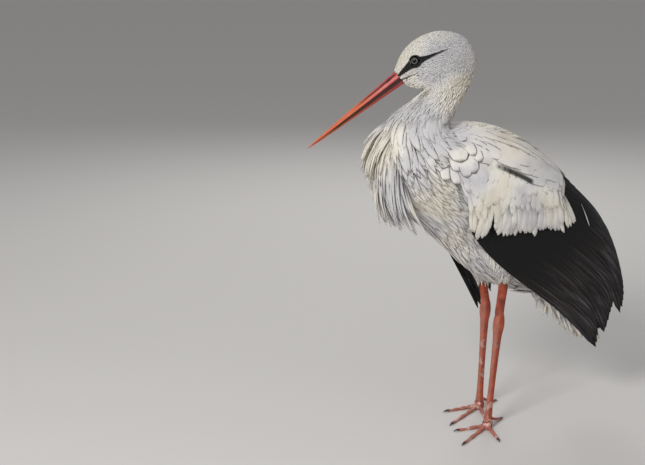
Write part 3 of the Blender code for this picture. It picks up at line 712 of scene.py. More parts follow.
@shared("skin under the coat", "stork_plumage")
def skin_paint(n):
    """The skin under the coat: the down between the feathers, the black skin of the mask and lids, and the
    crease's painted shade.
    """
    mark = n.attribute("mark")
    down = n.noise(n.place(), 260.0, 3.0)
    _, _, z = n.split(n.place())
    pale = down.step(0.30, 0.65).larger(z.step(0.60, 0.64))
    colour = n.mix(pale, "grey", "white")
    # The black mask and lids, and the crease's painted shade.
    colour = n.mix(mark + crease_shade(n) * CREASE_DARK, colour, "black")
    return n.finish(Base_Color=colour, Roughness=0.85 - mark * 0.35, Normal=n.bump(down, 0.0008, 0.6),
                    Specular_IOR_Level=0.3)


@shared("bill horn", "stork_bare")
def bill_horn(n):
    """Horn of the bill: crimson at the base, orange towards the tip, a lighter ridge, a dark mouth seam, a
    painted highlight along the side of the base, and painted shade in the nasal groove and nostril and over
    the lower mandible's side. Its attributes are run, from base to tip, and height, from the mouth's seam to
    the ridge."""
    run, height, groove = n.attribute("run"), n.attribute("height"), n.attribute("groove")
    grain = n.noise(n.vector(run * 6.0, height * 9.0, 0.0), 3.0, 3.0)
    colour = n.mix(run.step(0.02, 0.50), "base", "tip")
    colour = n.mix(height.step(0.86, 0.98) * 0.35 * run.step(0.30, 0.55), colour, "ridge")
    # Painted highlight: pale pink along the side of the bill's base.
    gleam = height.step(0.20, 0.34) * (1 - height.step(0.42, 0.60)) * (1 - run.step(0.12, 0.45))
    colour = n.mix(gleam * (0.20 + grain.step(0.40, 0.60) * 0.35), colour, "gleam")
    colour = n.mix(grain.step(0.50, 0.72) * 0.45, colour, "ridge")
    # Painted shade in the nasal groove and nostril and over the lower mandible's side, and the dark mouth
    # seam.
    colour = n.mix(groove, colour, "groove")
    lines = n.noise(n.vector(run * 5.0, height * 34.0, 1.0), 3.0, 2.0)
    return n.finish(Base_Color=colour, Roughness=0.46 + grain * 0.20, Normal=n.bump(lines, 0.0004, 0.7),
                    Specular_IOR_Level=0.32)


@shared("leg scales", "stork_bare")
def leg_scales(n):
    """Scaled red skin: darker in random patches, with painted shade in the seams between scutes, pale
    flaky flecks low on the leg and a painted highlight down the tarsus's front.
    """
    seam, front = n.attribute("seam"), n.attribute("front")
    place = n.place()
    patches = n.noise(place, 70.0, 3.0)
    fine = n.noise(place, 900.0, 2.0)
    _, _, z = n.split(place)
    colour = n.mix(patches.step(0.35, 0.7), "skin", "deep")
    # Pale flecks low on the leg, and a painted highlight down the tarsus's front.
    pale = patches.step(0.56, 0.62) * (1 - z.step(0.10, 0.21)) * 0.75 + front * 0.30
    colour = n.mix(pale * (1 - seam), colour, "pale")
    # Painted shade in the seams between the scales.
    colour = n.mix(seam * 0.75, colour, "deep")
    return n.finish(Base_Color=colour, Roughness=0.46 + fine * 0.2, Normal=n.bump(fine, 0.0003, 0.5),
                    Specular_IOR_Level=0.45)


@shared("claw horn", "stork_bare")
def claw_horn(n):
    """Dark horn, paler and streaked along the claw."""
    run = n.attribute("run")
    streaks = n.noise(n.place(), 420.0, 2.0)
    colour = n.mix(streaks.step(0.4, 0.7) * (1 - run) * 0.8, "claw", "claw_pale")
    return n.finish(Base_Color=colour, Roughness=0.34 + streaks * 0.15, Normal=n.bump(streaks, 0.0002, 0.5))


@shared("eyeball", "stork_bare")
def eye_glass(n):
    """The eyeball: black pupil, olive-grey iris with radial threads and a pale rim, dark beyond."""
    polar, turn = n.attribute("polar"), n.attribute("turn")
    threads = n.noise(n.vector(turn * 26.0, polar * 3.0, 0.0), 2.0, 3.0)
    colour = n.mix(threads.step(0.35, 0.7), "iris", "iris_pale")
    colour = n.mix(polar.step(33.0, 40.0) * 0.6, colour, "iris_pale")
    pupil = 1 - polar.step(21.0, 23.0)
    rim = polar.step(40.0, 43.0)
    colour = n.mix((pupil + rim).math("MINIMUM", 1.0), colour, "pupil")
    return n.finish(Base_Color=colour, Roughness=0.5, Specular_IOR_Level=0.0, Coat_Weight=0.3,
                    Coat_Roughness=0.04)


PAINTS = {"white": white_feather, "black": black_feather}


@shared("floor", "stork_stage")
def floor_paint(n):
    """The floor's plain matt finish."""
    return n.finish(Base_Color="floor", Roughness=0.9)


# ---------------------------------------- settings

def colour_setting(name, description, value):
    return bpy.props.FloatVectorProperty(name=name, description=description, subtype="COLOR", size=3,
                                         default=value, min=0.0, max=1.0)


def number_setting(name, description, value, low, high, unit="LENGTH"):
    return bpy.props.FloatProperty(name=name, description=description, unit=unit, default=value,
                                   min=low, max=high)


class PlumageSettings(bpy.types.PropertyGroup):
    """Sizes and colours of the feathers."""
    white: colour_setting("White", "Main colour of the white feathers", (0.82, 0.795, 0.74))
    # Painted shade in broad bluish-grey patches over the white plumage.
    cool_shade: colour_setting("Cool tint", "Broad bluish-grey patches of the white plumage", (0.50, 0.49, 0.54))
    # Grey of the streaks, and of the painted shade in patches and along vane edges.
    grey: colour_setting("Grey", "Streaks in the white feathers", (0.40, 0.385, 0.375))
    warm: colour_setting("Warm tint", "Cream on the back and in patches", (0.74, 0.66, 0.50))
    tan: colour_setting("Tan", "Brownish rim along the top of the back", (0.44, 0.335, 0.215))
    # Painted shade at the feathers' roots and round their outlines.
    shadow: colour_setting("Root", "Colour of the feathers' covered roots", (0.17, 0.155, 0.145))
    # Also the crease's painted shade.
    black: colour_setting("Black", "Flight feathers, mask and lids", (0.006, 0.006, 0.0065))
    # Painted sheen on the black feathers: brown streaks and fine steel-grey highlights.
    brown: colour_setting("Brown sheen", "Streaks in the black feathers", (0.060, 0.038, 0.028))
    steel: colour_setting("Steel sheen", "Fine highlights in the black feathers", (0.16, 0.155, 0.17))
    head_length: number_setting("Head feather", "Length of the crown's feathers", 0.0110, 0.003, 0.02)
    neck_length: number_setting("Neck feather", "Length of the neck's feathers", 0.024, 0.008, 0.05)
    body_length: number_setting("Body feather", "Length of the belly's feathers", 0.050, 0.015, 0.09)
    plume_half_width: number_setting("Plume", "Half width of a breast plume", 0.0040, 0.002, 0.01)


class BareSettings(bpy.types.PropertyGroup):
    """Colours of the bill, eyes, legs and claws."""
    base: colour_setting("Bill base", "Crimson at the bill's base", (0.50, 0.050, 0.062))
    tip: colour_setting("Bill tip", "Orange of the bill's outer half", (0.62, 0.125, 0.048))
    ridge: colour_setting("Bill ridge", "Lighter orange of the ridge and scratches", (0.80, 0.34, 0.20))
    # Painted highlight on the bill's base.
    gleam: colour_setting("Bill gleam", "Pale pink along the side of the bill's base", (0.84, 0.46, 0.42))
    # Also the painted shade in the nasal groove and nostril and over the lower mandible's side.
    groove: colour_setting("Bill groove", "Nasal groove and mouth seam", (0.030, 0.016, 0.014))
    skin: colour_setting("Leg", "Orange-red skin of the legs", (0.50, 0.092, 0.034))
    # Painted shade in the seams between the scales, and random darker patches.
    deep: colour_setting("Leg shadow", "Seams between the scales", (0.17, 0.026, 0.014))
    # Pale flecks, and the painted highlight down the tarsus's front.
    pale: colour_setting("Leg highlight", "Pale flaky scales", (0.80, 0.50, 0.42))
    claw: colour_setting("Claw", "Dark horn of the claws", (0.035, 0.026, 0.022))
    claw_pale: colour_setting("Claw streak", "Paler streaks of the claws", (0.16, 0.13, 0.11))
    iris: colour_setting("Iris", "Olive-grey of the iris", (0.060, 0.064, 0.052))
    iris_pale: colour_setting("Iris rim", "Paler threads and rim of the iris", (0.17, 0.18, 0.155))
    pupil: colour_setting("Pupil", "Pupil and the eyeball's hidden part", (0.004, 0.004, 0.004))


class StageSettings(bpy.types.PropertyGroup):
    """Floor, light and camera."""
    floor: colour_setting("Floor", "Colour of the floor", (0.66, 0.64, 0.615))
    key_power: number_setting("Key light", "Power of the main light", 72.0, 0.0, 1000.0, "POWER")
    lens: number_setting("Lens", "Focal length", 69.457, 20.0, 300.0, "CAMERA")


def settings():
    """The plumage's settings."""
    return bpy.context.scene.stork_plumage


# ---------------------------------------- skin

def body_grid(rows, columns):
    """Stations and degrees of the skin's grid: rows crowd on the head, columns on the
    sides where the eyes are."""
    share = np.linspace(0, 1, rows)
    station = np.interp(share, (0.0, 0.10, 0.42, 0.60, 1.0), (0.02, 1.0, 3.4, 7.0, LAST_STATION))
    turn = np.linspace(0, 2 * math.pi, columns, endpoint=False)
    degrees = np.degrees(turn + 0.21 * np.sin(2 * turn))
    return np.meshgrid(station, degrees, indexing="ij")


def eye_axis(side):
    """Direction out through the pupil of the turned head."""
    pivot = (NECK_PIVOT_X, 0, 0)
    return unit(turned(EYE_AXIS * (1, side, 1) + pivot, HEAD_TURN) - pivot)


def set_eye(points, side, centre):
    """Sinks the skin inside the lids' opening below the eyeball and rolls a rim up over it,
    then fades back into the head. The new height over the eye's centre is a function of the
    distance from the pupil's axis."""
    axis = eye_axis(side)
    offset = points - centre
    height = offset @ axis
    flat = offset - height[..., None] * axis
    up = unit(np.array((0.0, 0.0, 1.0)) - axis[2] * axis)
    wide, tall = flat @ np.cross(up, axis) * side, flat @ up
    reach = np.hypot((wide * 0.94 + tall * 0.10), tall * 1.06)
    ball = np.sqrt(np.maximum(EYE_RADIUS**2 - np.minimum(reach, EYE_RADIUS) ** 2, 0))
    inside = ball - LID_HOLLOW
    rim = ball + LID_LIFT + LID_ROLL * np.exp(-((reach - LID_RIM) / 0.0009) ** 2)
    sunk = inside + (rim - inside) * smooth(reach, LID_OPENING - 0.0004, LID_OPENING + 0.0004)
    near = 1 - smooth(reach, LID_RIM + 0.0006, LID_FADE)
    shift = np.where(height > 0, (sunk - height) * near, 0.0)
    return points + shift[..., None] * axis


def solid(name, *stacks):
    """A mesh of one or more closed tubes, given by their rings."""
    points, faces, start = [], ([], []), 0
    for tube in map(closed_tube, stacks):
        points += tube[0].tolist()
        for kept, made in zip(faces, tube[1:]):
            kept += (made + start).tolist()
        start = len(points)
    mesh = bpy.data.meshes.new(name)
    mesh.from_pydata(points, [], faces[0] + faces[1])
    return new_object(name, mesh)


def apply_modifiers(piece):
    """Replaces a piece's mesh by its evaluated one. Returns its points and normals."""
    mesh = bpy.data.meshes.new_from_object(piece.evaluated_get(bpy.context.evaluated_depsgraph_get()))
    piece.modifiers.clear()
    piece.data = mesh
    read = []
    for key in ("co", "normal"):
        values = np.empty(len(mesh.vertices) * 3, np.float32)
        mesh.vertices.foreach_get(key, values)
        read.append(values.reshape(-1, 3).astype(float))
    return read


def wing_bed(side):
    """Rings of the shoulder's flesh under the coverts: the covert surface sunk towards the body."""
    v = np.linspace(0.02, 0.80, 26)
    rings = []
    for u in np.linspace(0.05, 0.97, 36):
        x, z = bed_xz(np.full_like(v, u), v)
        outer = drape(x, z, covert_height(x, z) - FLESH_UNDER_COVERTS, side)[0]
        inner = drape(x, z, -FLESH_INSIDE_HULL, side)[0]
        rings.append(np.concatenate((outer, inner[::-1])))
    return np.array(rings)


def tail_section(t):
    """(middle, half height) of the tail's wedge at shares of its length, in the side view."""
    top, low = across(TAIL_TOP, t), across(TAIL_LOW, t)
    return (top + low) / 2, (top - low) / 2


def tail_wedge(shrink):
    """Rings of the tail's base: an arch between its upper and lower lines, drawn in by a margin."""
    t = np.linspace(0.0, 0.80, 14)
    middle, axis = tail_section(t)
    angle = np.linspace(0, 2 * math.pi, 32, endpoint=False)
    axis = axis * (1 - shrink / np.linalg.norm(axis, axis=1))[:, None]
    xz = middle[:, None] + axis[:, None] * np.cos(angle)[:, None]
    y = (TAIL_HALF_WIDTH + TAIL_SPREAD * t[:, None] - shrink) * np.sin(angle)
    return np.stack((xz[..., 0], y, xz[..., 1]), -1)


def thigh_line(leg):
    """(hip, hem) of a thigh: where the feathers begin, and where they end over the bare shank."""
    hip, top = np.array(leg["hip"]), np.array(leg["top"])
    return hip, hip + (top - hip) * (hip[2] - leg["hem"]) / (hip[2] - top[2])


def thigh_half(share):
    """Half width of a thigh at a share of its length."""
    return np.interp(share, (0, 0.35, 0.7, 0.9, 1.0, 1.3), (0.040, 0.036, 0.025, 0.017, 0.0128, 0.0100))


def thigh_rings(leg, shrink):
    """Rings of a thigh: an ellipse down from the hip to the top of the bare shank."""
    hip, hem = thigh_line(leg)
    t = np.linspace(0, 1, 14)[:, None]
    half = thigh_half(t) - shrink
    angle = np.linspace(0, 2 * math.pi, 32, endpoint=False)
    ring = (half * np.cos(angle), half * THIGH_FLATNESS * np.sin(angle), 0 * (half + angle))
    return (hip + (hem - hip) * t)[:, None] + np.stack(ring, -1)


def make_skin():
    """One closed skin over head, neck, breast, trunk, thighs, shoulders and tail base. The body is a grid of
    stations and degrees sunk by the coat's depth; the rest is joined to it by a Boolean union."""
    station, degrees = body_grid(SKIN_ROWS, SKIN_COLUMNS)
    points = body(station, degrees, -coat_depth(station))
    for name, side in SIDES.items():
        points = set_eye(points, side, EYE_CENTRES[name])
    skin = solid("skin", sink_gape(points))
    parts = [solid("thigh", thigh_rings(leg, THIGH_MARGIN)) for leg in LEGS.values()]
    parts += [solid("bed", wing_bed(side)) for side in SIDES.values()]
    parts.append(solid("tail base", tail_wedge(TAIL_MARGIN)))
    for part in parts:
        union = skin.modifiers.new(part.name, "BOOLEAN")
        union.operation = "UNION"
        union.solver = "EXACT"
        union.object = part
    points, _ = apply_modifiers(skin)
    for part in parts:
        bpy.data.objects.remove(part)
    settle(skin.data, points, {"mark": markings(points)})
    finish_piece(skin, skin_paint(),
                 ("head", "neck", "breast", "trunk", "thigh_left", "thigh_right"))


def sink_gape(points):
    """Presses the fold of the mouth's corner into the cheeks along the gape line."""
    head = turned(points, -HEAD_TURN)
    press = along_line(head[..., 0], head[..., 2], GAPE_LINE, 0.0016) * (head[..., 2] > HEAD_MARK_FLOOR)
    head[..., 1] -= np.sign(head[..., 1]) * press * 0.0010
    return turned(head, HEAD_TURN)


# ---------------------------------------- feathers on the body

def body_roots(rng, first, last, row_gap, side_gap, arc=(0.0, 360.0)):
    """Staggered feather roots: rows a row gap apart along the fastest line of the body and
    feathers a side gap apart round it. Where the surface runs slower, roots are dropped at random
    so that the cover stays even."""
    line = np.linspace(first, last, 200)
    around = np.linspace(arc[0], arc[1], 25)
    speed = body_speed(line[:, None], around[None]).max(1)
    run = np.concatenate(((0,), np.cumsum((speed[1:] + speed[:-1]) / 2 * np.diff(line))))
    rows = np.interp(np.arange(0.5, run[-1] / row_gap) * row_gap, run, line)
    stations, degrees = [], []
    for k, row in enumerate(rows):
        ring = body(row, np.linspace(arc[0], arc[1], 49))
        length = np.linalg.norm(np.diff(ring, axis=0), axis=1)
        laid = np.concatenate(((0,), np.cumsum(length)))
        count = max(int(laid[-1] / side_gap), 3)
        slots = (np.arange(count) + 0.25 + 0.5 * (k % 2) + rng.uniform(-0.22, 0.22, count)) / count
        angle = np.interp(slots % 1.0, laid / laid[-1], np.linspace(arc[0], arc[1], 49))
        jitter = rng.uniform(-0.35, 0.35, count) * row_gap / np.interp(row, line, speed)
        keep = rng.random(count) < body_speed(np.full(count, row), angle) / np.interp(row, line, speed) * 1.15
        stations.append((row + jitter)[keep])
        degrees.append(angle[keep])
    return np.concatenate(stations), np.concatenate(degrees)


def body_patch(station, degrees):
    """Place of a root on the unwrap of the body: round it across, head to tail up."""
    return np.stack((0.02 + 0.96 * (degrees % 360) / 360, 0.02 + 0.95 * station / LAST_STATION), -1)


def lie_on_body(station, degrees, length, tip_lift, rows, swing, bow=0.5, span=2.2, sunk=0.6, deeper=0.001):
    """(line, normal) of feathers that lie along the body: the station grows along the feather by up to a
    span, the height goes from a root sunk by a share of the coat's depth to the tip's, quickly at first, and
    swing turns it round the body."""
    t = np.linspace(0, 1, rows)
    run = np.minimum(length / np.maximum(body_speed(station, degrees), 0.004), span)
    s = np.minimum(station[:, None] + run[:, None] * t, LAST_STATION + 0.9)
    a = degrees[:, None] + swing[:, None] * t
    root_lift = -sunk * coat_depth(station) - deeper
    lift = root_lift[:, None] + (tip_lift - root_lift)[:, None] * t**bow
    return body(s, a, lift), body_normal(s, a, lift)


# Outlines of the feathers: place of the widest point along them, width at the root and at the tip as a share
# of the widest, and the power of the curve that rounds them in.
FORMS = {
    "head": (0.40, 0.60, 0.05, 1.4), "neck": (0.35, 0.50, 0.06, 1.6), "plume": (0.38, 0.55, 0.04, 1.25),
    "breast": (0.50, 0.55, 0.05, 1.6), "belly": (0.50, 0.55, 0.08, 1.6), "mantle": (0.50, 0.60, 0.12, 2.0),
    "loose": (0.45, 0.55, 0.08, 1.5), "finger": (0.62, 0.60, 0.26, 2.2), "covert": (0.50, 0.65, 0.10, 1.8),
    "scapular": (0.50, 0.65, 0.14, 1.9), "shoulder": (0.60, 0.62, 0.16, 1.9), "back": (0.50, 0.65, 0.12, 1.9),
    "secondaries": (0.60, 0.50, 0.10, 2.2), "primaries": (0.55, 0.50, 0.03, 2.4),
    "hanging": (0.55, 0.50, 0.08, 2.0), "tail": (0.60, 0.60, 0.35, 2.4),
}


def outline(rows, form):
    """Half width along a feather, as a share: grows from the root to its widest place, then rounds in
    to the tip by a superellipse."""
    widest, root, tip, power = FORMS[form]
    t = np.linspace(0, 1, rows)
    grow = root + (1 - root) * np.sin(np.clip(t / widest, 0, 1) * math.pi / 2)
    fall = (1 - np.clip((t - widest) / (1 - widest), 0, 1) ** power) ** (1 / power)
    return grow * (tip + (1 - tip) * fall)


def halved_coat(names, station, degrees, lines, normal, half, tone, dark, jag, **form):
    """A coat in two pieces, before and behind its middle station, as one would be too heavy."""
    front = station < np.median(station)
    for name, part in zip(names, (front, ~front)):
        make_feathers(name, lines[part], normal[part], half[part], body_patch(station[part], degrees[part]),
                      tone[part], dark=dark[part], jag=jag[part], **form)


def make_head_feathers():
    """Fine short feathers over the head, from the bill back, left off the eyelids."""
    rng = np.random.default_rng(11)
    station, degrees = body_roots(rng, 0.03, 6.6, 0.0026, 0.00150)
    count = len(station)
    size = np.interp(station, (0, 1.0, 2.5, 5, 6.6), (0.34, 0.52, 0.72, 1.05, 1.6))
    size = size * rng.uniform(0.8, 1.2, count)
    tip_lift = rng.uniform(-0.0002, 0.0, count)
    lines, normal = lie_on_body(station, degrees, settings().head_length * size, tip_lift, 5,
                                rng.normal(0, 2.2, count), span=1.2, sunk=0.45, deeper=0.0003)
    far = np.ones(count, bool)
    for centre in EYE_CENTRES.values():
        gap = np.linalg.norm(lines - centre, axis=-1)
        far &= (gap.min(1) > LID_BARE[0]) & (gap[:, 0] > LID_BARE[1])
    lines, normal, station, degrees, size = (a[far] for a in (lines, normal, station, degrees, size))
    broad = np.interp(station, (0, 1.5, 3.5), (1.7, 1.35, 1.0))  # fewer feathers on the face, so wider ones
    half = 0.00138 * ((0.55 + 0.45 * size) * broad)[:, None] * outline(5, "head")
    dark = np.interp(station, (3.5, 6.6), (0.0, 0.5))
    halved_coat(("coat_face", "coat_head"), station, degrees, lines, normal, half, rng.random(len(station)),
                dark, jag=np.zeros((len(station), 3)), columns=3, thick=0.00006, cup=0.05)


def make_neck_feathers():
    """Narrow streaked feathers running down the neck, longer towards its base."""
    rng = np.random.default_rng(12)
    station, degrees = body_roots(rng, 5.9, 11.6, 0.0068, 0.0031)
    grow = np.interp(station, (5.9, 8, 11.6), (0.62, 1.0, 1.45))
    count = len(station)
    throat = np.clip(1 - np.abs(180 - degrees) / 75, 0, 1) * smooth(station, 7.6, 9.4)
    length = settings().neck_length * grow * rng.uniform(0.75, 1.3, count) * (1 + 0.9 * throat)
    tip_lift = rng.uniform(-0.0008, 0.0004, count) * grow + 0.0055 * throat * rng.random(count)
    lines, normal = lie_on_body(station, degrees, length, tip_lift, 6, rng.normal(0, 3.5, count))
    half = 0.0023 * (0.5 + 0.5 * grow)[:, None] * outline(6, "neck")
    half = half * rng.uniform(0.8, 1.25, (count, 1))
    make_feathers("coat_neck", lines, normal, half, body_patch(station, degrees), rng.random(count),
                  columns=3, thick=0.00014, cup=0.08, dark=0.60)


def plume_lines(rng, count_rows, count_side):
    """(line, normal, station, degrees) of the lance-shaped breast plumes: from a root in the breast to a tip
    that stands off it, bowed outwards by a sine. Both ends come from the rows, read at a share down the
    breast and across it, and the tips draw together into locks."""
    down, share = np.meshgrid(np.linspace(0, 1, count_rows), np.linspace(-1, 1, count_side), indexing="ij")
    share = share + np.where(np.arange(count_rows) % 2, 0.5, 0.0)[:, None] * 2 / (count_side - 1)
    down = np.clip(down + rng.normal(0, 0.014, down.shape), 0, 1).ravel()
    share = np.clip(share + rng.normal(0, 0.05, share.shape), -1.1, 1.1).ravel()
    row = across(PLUME_ROWS, down)
    degrees = 180 + row[:, 1] * share
    root = body(row[:, 0], degrees, -0.0055)
    edge = np.minimum(np.abs(share), 1.0)[:, None]
    tip_xz = row[:, 2:4] * (1 - edge) + row[:, 4:6] * edge
    tip = np.stack((tip_xz[:, 0] + 0.004, 1.12 * root[:, 1] + 0.010 * share, tip_xz[:, 1] + 0.003), -1)
    lock = (np.floor(down * 9.99) * 9 + np.floor((share + 1.1) / 2.21 * 9)).astype(int)  # 10 rows of 9 locks
    members = np.maximum(np.bincount(lock), 1)
    middle = np.stack([np.bincount(lock, tip[:, k]) / members for k in range(3)], -1)
    middle += rng.normal(0, (0.003, 0.003, 0.004), middle.shape)
    tip += 0.68 * (middle[lock] - tip) + rng.normal(0, 0.0012, tip.shape)
    count = len(tip)
    reach = np.where(rng.random(count) < 0.30, rng.uniform(0.98, 1.05, count), rng.uniform(0.62, 0.98, count))
    along = (tip - root) * reach[:, None]
    outward = unit(body(row[:, 0], degrees, 0.004) - root)
    t = np.linspace(0, 1, 8)
    lift = np.sin(math.pi * t) * 0.11 * np.linalg.norm(along, axis=1)[:, None]
    lines = root[:, None] + along[:, None] * t[:, None] + outward[:, None] * lift[..., None]
    return lines, np.broadcast_to(outward[:, None], lines.shape), row[:, 0], degrees


def make_breast_plumes():
    """The shaggy breast: lance-shaped plumes that stand off the front in rows and hang in ragged points."""
    rng = np.random.default_rng(13)
    lines, normal, station, degrees = plume_lines(rng, 40, 19)
    count = len(station)
    half = (settings().plume_half_width * rng.uniform(0.50, 1.25, (count, 1))
            * np.interp(station, (9.5, 11.5), (0.75, 1.1))[:, None] * outline(8, "plume"))
    make_feathers("plumes_breast", lines, normal, half, body_patch(station, degrees), rng.random(count),
                  thick=0.00035, cup=0.40, dark=0.9, rim=0.25)


def make_breast_sides():
    """Long feathers down both sides of the breast, from the neck's base to the flank."""
    rng = np.random.default_rng(14)
    station, degrees = body_roots(rng, 9.2, 15.5, 0.0105, 0.0058, (52.0, 308.0))
    count = len(station)
    side = np.abs(180 - degrees)
    length = rng.uniform(0.044, 0.066, count) * np.interp(side, (0, 40, 105, 128), (1.15, 1.1, 0.80, 0.45))
    low = np.interp(station, (11.4, 12.8), (0.0, 1.0))  # 0 on the breast, 1 where the flank's coat begins
    tip_lift = rng.uniform(-0.001, 0.0030, count) * np.interp(side, (0, 60, 110), (1.6, 1.0, 0.5))
    lines, normal = lie_on_body(station, degrees, length, tip_lift * (1 - 0.65 * low), 7,
                                rng.normal(0, 3.0, count), 0.45, 2.4)
    half = rng.uniform(0.0052, 0.0084, count) * (1 - low) + rng.uniform(0.0034, 0.0062, count) * low
    half = half[:, None] * outline(7, "breast")
    make_feathers("coat_breast", lines, normal, half, body_patch(station, degrees), rng.random(count),
                  thick=0.00018, cup=np.interp(station, (11, 13), (0.18, 0.05)),
                  dark=np.interp(station, (11, 13), (0.60, 0.08)),
                  rim=np.interp(station, (10.2, 10.8, 11.4, 12.4), (0.1, 0.75, 0.75, 0.0))
                  * np.interp(side, (88, 108), (1.0, 0.0)))


def make_belly_feathers():
    """Soft feathers over the flanks, belly and vent, with ragged tips along the lower edge."""
    rng = np.random.default_rng(15)
    station, degrees = body_roots(rng, 13.4, LAST_STATION, 0.0100, 0.0052, (40.0, 320.0))
    count = len(station)
    length = settings().body_length * rng.uniform(0.8, 1.25, count)
    under = np.clip(1 - np.abs(180 - degrees) / 50, 0, 1)
    tip_lift = rng.uniform(-0.0012, -0.0004, count) + 0.006 * under * rng.random(count) ** 2
    lines, normal = lie_on_body(station, degrees, length, tip_lift, 6, rng.normal(0, 4.0, count), 0.42, 2.4)
    half = rng.uniform(0.0034, 0.0062, (count, 1)) * outline(6, "belly")
    jag = rng.uniform(-0.0035, 0.0015, (count, 5))
    halved_coat(("coat_flanks", "coat_belly"), station, degrees, lines, normal, half, rng.random(count),
                np.full(count, 0.08), jag, thick=0.00016, cup=0.05)


def make_mantle():
    """Feathers of the hind neck's foot and the mantle, lying back over the wings' front edges."""
    rng = np.random.default_rng(16)
    station, degrees = body_roots(rng, 9.6, 12.6, 0.0085, 0.0070, (-75.0, 75.0))
    count = len(station)
    length = rng.uniform(0.030, 0.044, count)
    tip_lift = rng.uniform(0.004, 0.009, count) * np.interp(station, (9.6, 11, 12.6), (0.1, 0.7, 1.0))
    lines, normal = lie_on_body(station, degrees, length, tip_lift, 6, rng.normal(0, 3.0, count), bow=1.0,
                                sunk=1.0, deeper=0.0)
    half = rng.uniform(0.0044, 0.0066, (count, 1)) * outline(6, "mantle")
    make_feathers("coat_mantle", lines, normal, half, body_patch(station, degrees), rng.random(count),
                  thick=0.0003, dark=0.35, rim=0.2)


def make_thigh_feathers():
    """Loose white feathers down the thighs, ragged where they hang over the bare shank."""
    rng = np.random.default_rng(17)
    count, steps = 900, np.linspace(0, 1, 6)
    for name, leg in LEGS.items():
        hip, hem = thigh_line(leg)
        angle = rng.uniform(0, 2 * math.pi, count)
        length = rng.uniform(0.026, 0.044, count) / np.linalg.norm(hem - hip)
        end = rng.uniform(0.30, 1.10, count) ** 0.8 + 0.20 * rng.random(count) ** 5
        t0 = end - length
        t = t0[:, None] + steps * length[:, None]
        lift = -0.004 + 0.0048 * steps * rng.uniform(0.4, 1.2, (count, 1))
        turn = angle[:, None] + rng.normal(0, 0.10, (count, 1)) * steps
        out = np.stack((np.cos(turn), THIGH_FLATNESS * np.sin(turn), np.zeros_like(turn)), -1)
        lines = hip + (hem - hip) * t[..., None] + out * (thigh_half(t) + lift)[..., None]
        vane = rng.uniform(0.0022, 0.0040, (count, 1)) * outline(6, "loose")
        patch = np.stack((0.05 + 0.9 * angle / (2 * math.pi), 0.05 + 0.9 * np.clip(t0, 0, 1)), -1)
        make_feathers(f"coat_thigh_{name}", lines, unit(out), vane, patch, rng.random(count), thick=0.00022,
                      jag=rng.uniform(-0.004, 0.001, (count, 5)), dark=0.30)


# ---------------------------------------- wings and tail

def lie_on_wing(tip, heading, length, side, offset, rows, below=0.0004):
    """(line, normal) of feathers laid on the wing, given by their tips in the side view and their
    headings. They follow the height over the hull, plus an offset that goes from the root's to the tip's,
    and stay below the back's ridge."""
    t = np.linspace(0, 1, rows)
    back = np.reshape(length, (-1, 1)) * (1 - t)
    heading = unit(heading)
    x, z = tip[:, :1] - heading[:, :1] * back, tip[:, 1:2] - heading[:, 1:2] * back
    z = np.minimum(z, hull_top(x) - below)
    rise = offset[0] + (offset[1] - offset[0]) * t**0.7
    return drape(x, z, covert_height(x, z) + rise, side)


def wing_patch(tip, length):
    """Place of a root on the unwrap of the wing: its side view."""
    return np.stack((0.04 + 3.0 * (tip[:, 0] + 0.16), 0.04 + 3.4 * (tip[:, 1] + length * 0.8 - 0.36)), -1)


# Rows of coverts, the lowest first: height over the edge, gap along it, length, half width, scatter.
COVERT_ROWS = (
    (0.0, 0.0098, 0.064, 0.0062, 0.0030), (0.0045, 0.0098, 0.064, 0.0058, 0.0024),
    (0.040, 0.0100, 0.066, 0.0086, 0.0095), (0.049, 0.0110, 0.068, 0.0112, 0.0060),
    (0.065, 0.0120, 0.070, 0.0130, 0.0024), (0.081, 0.0120, 0.070, 0.0135, 0.0024),
    (0.097, 0.0120, 0.066, 0.0135, 0.0024),
)
FINGER_ROWS = 2  # the lowest rows, whose feathers are the long fingers


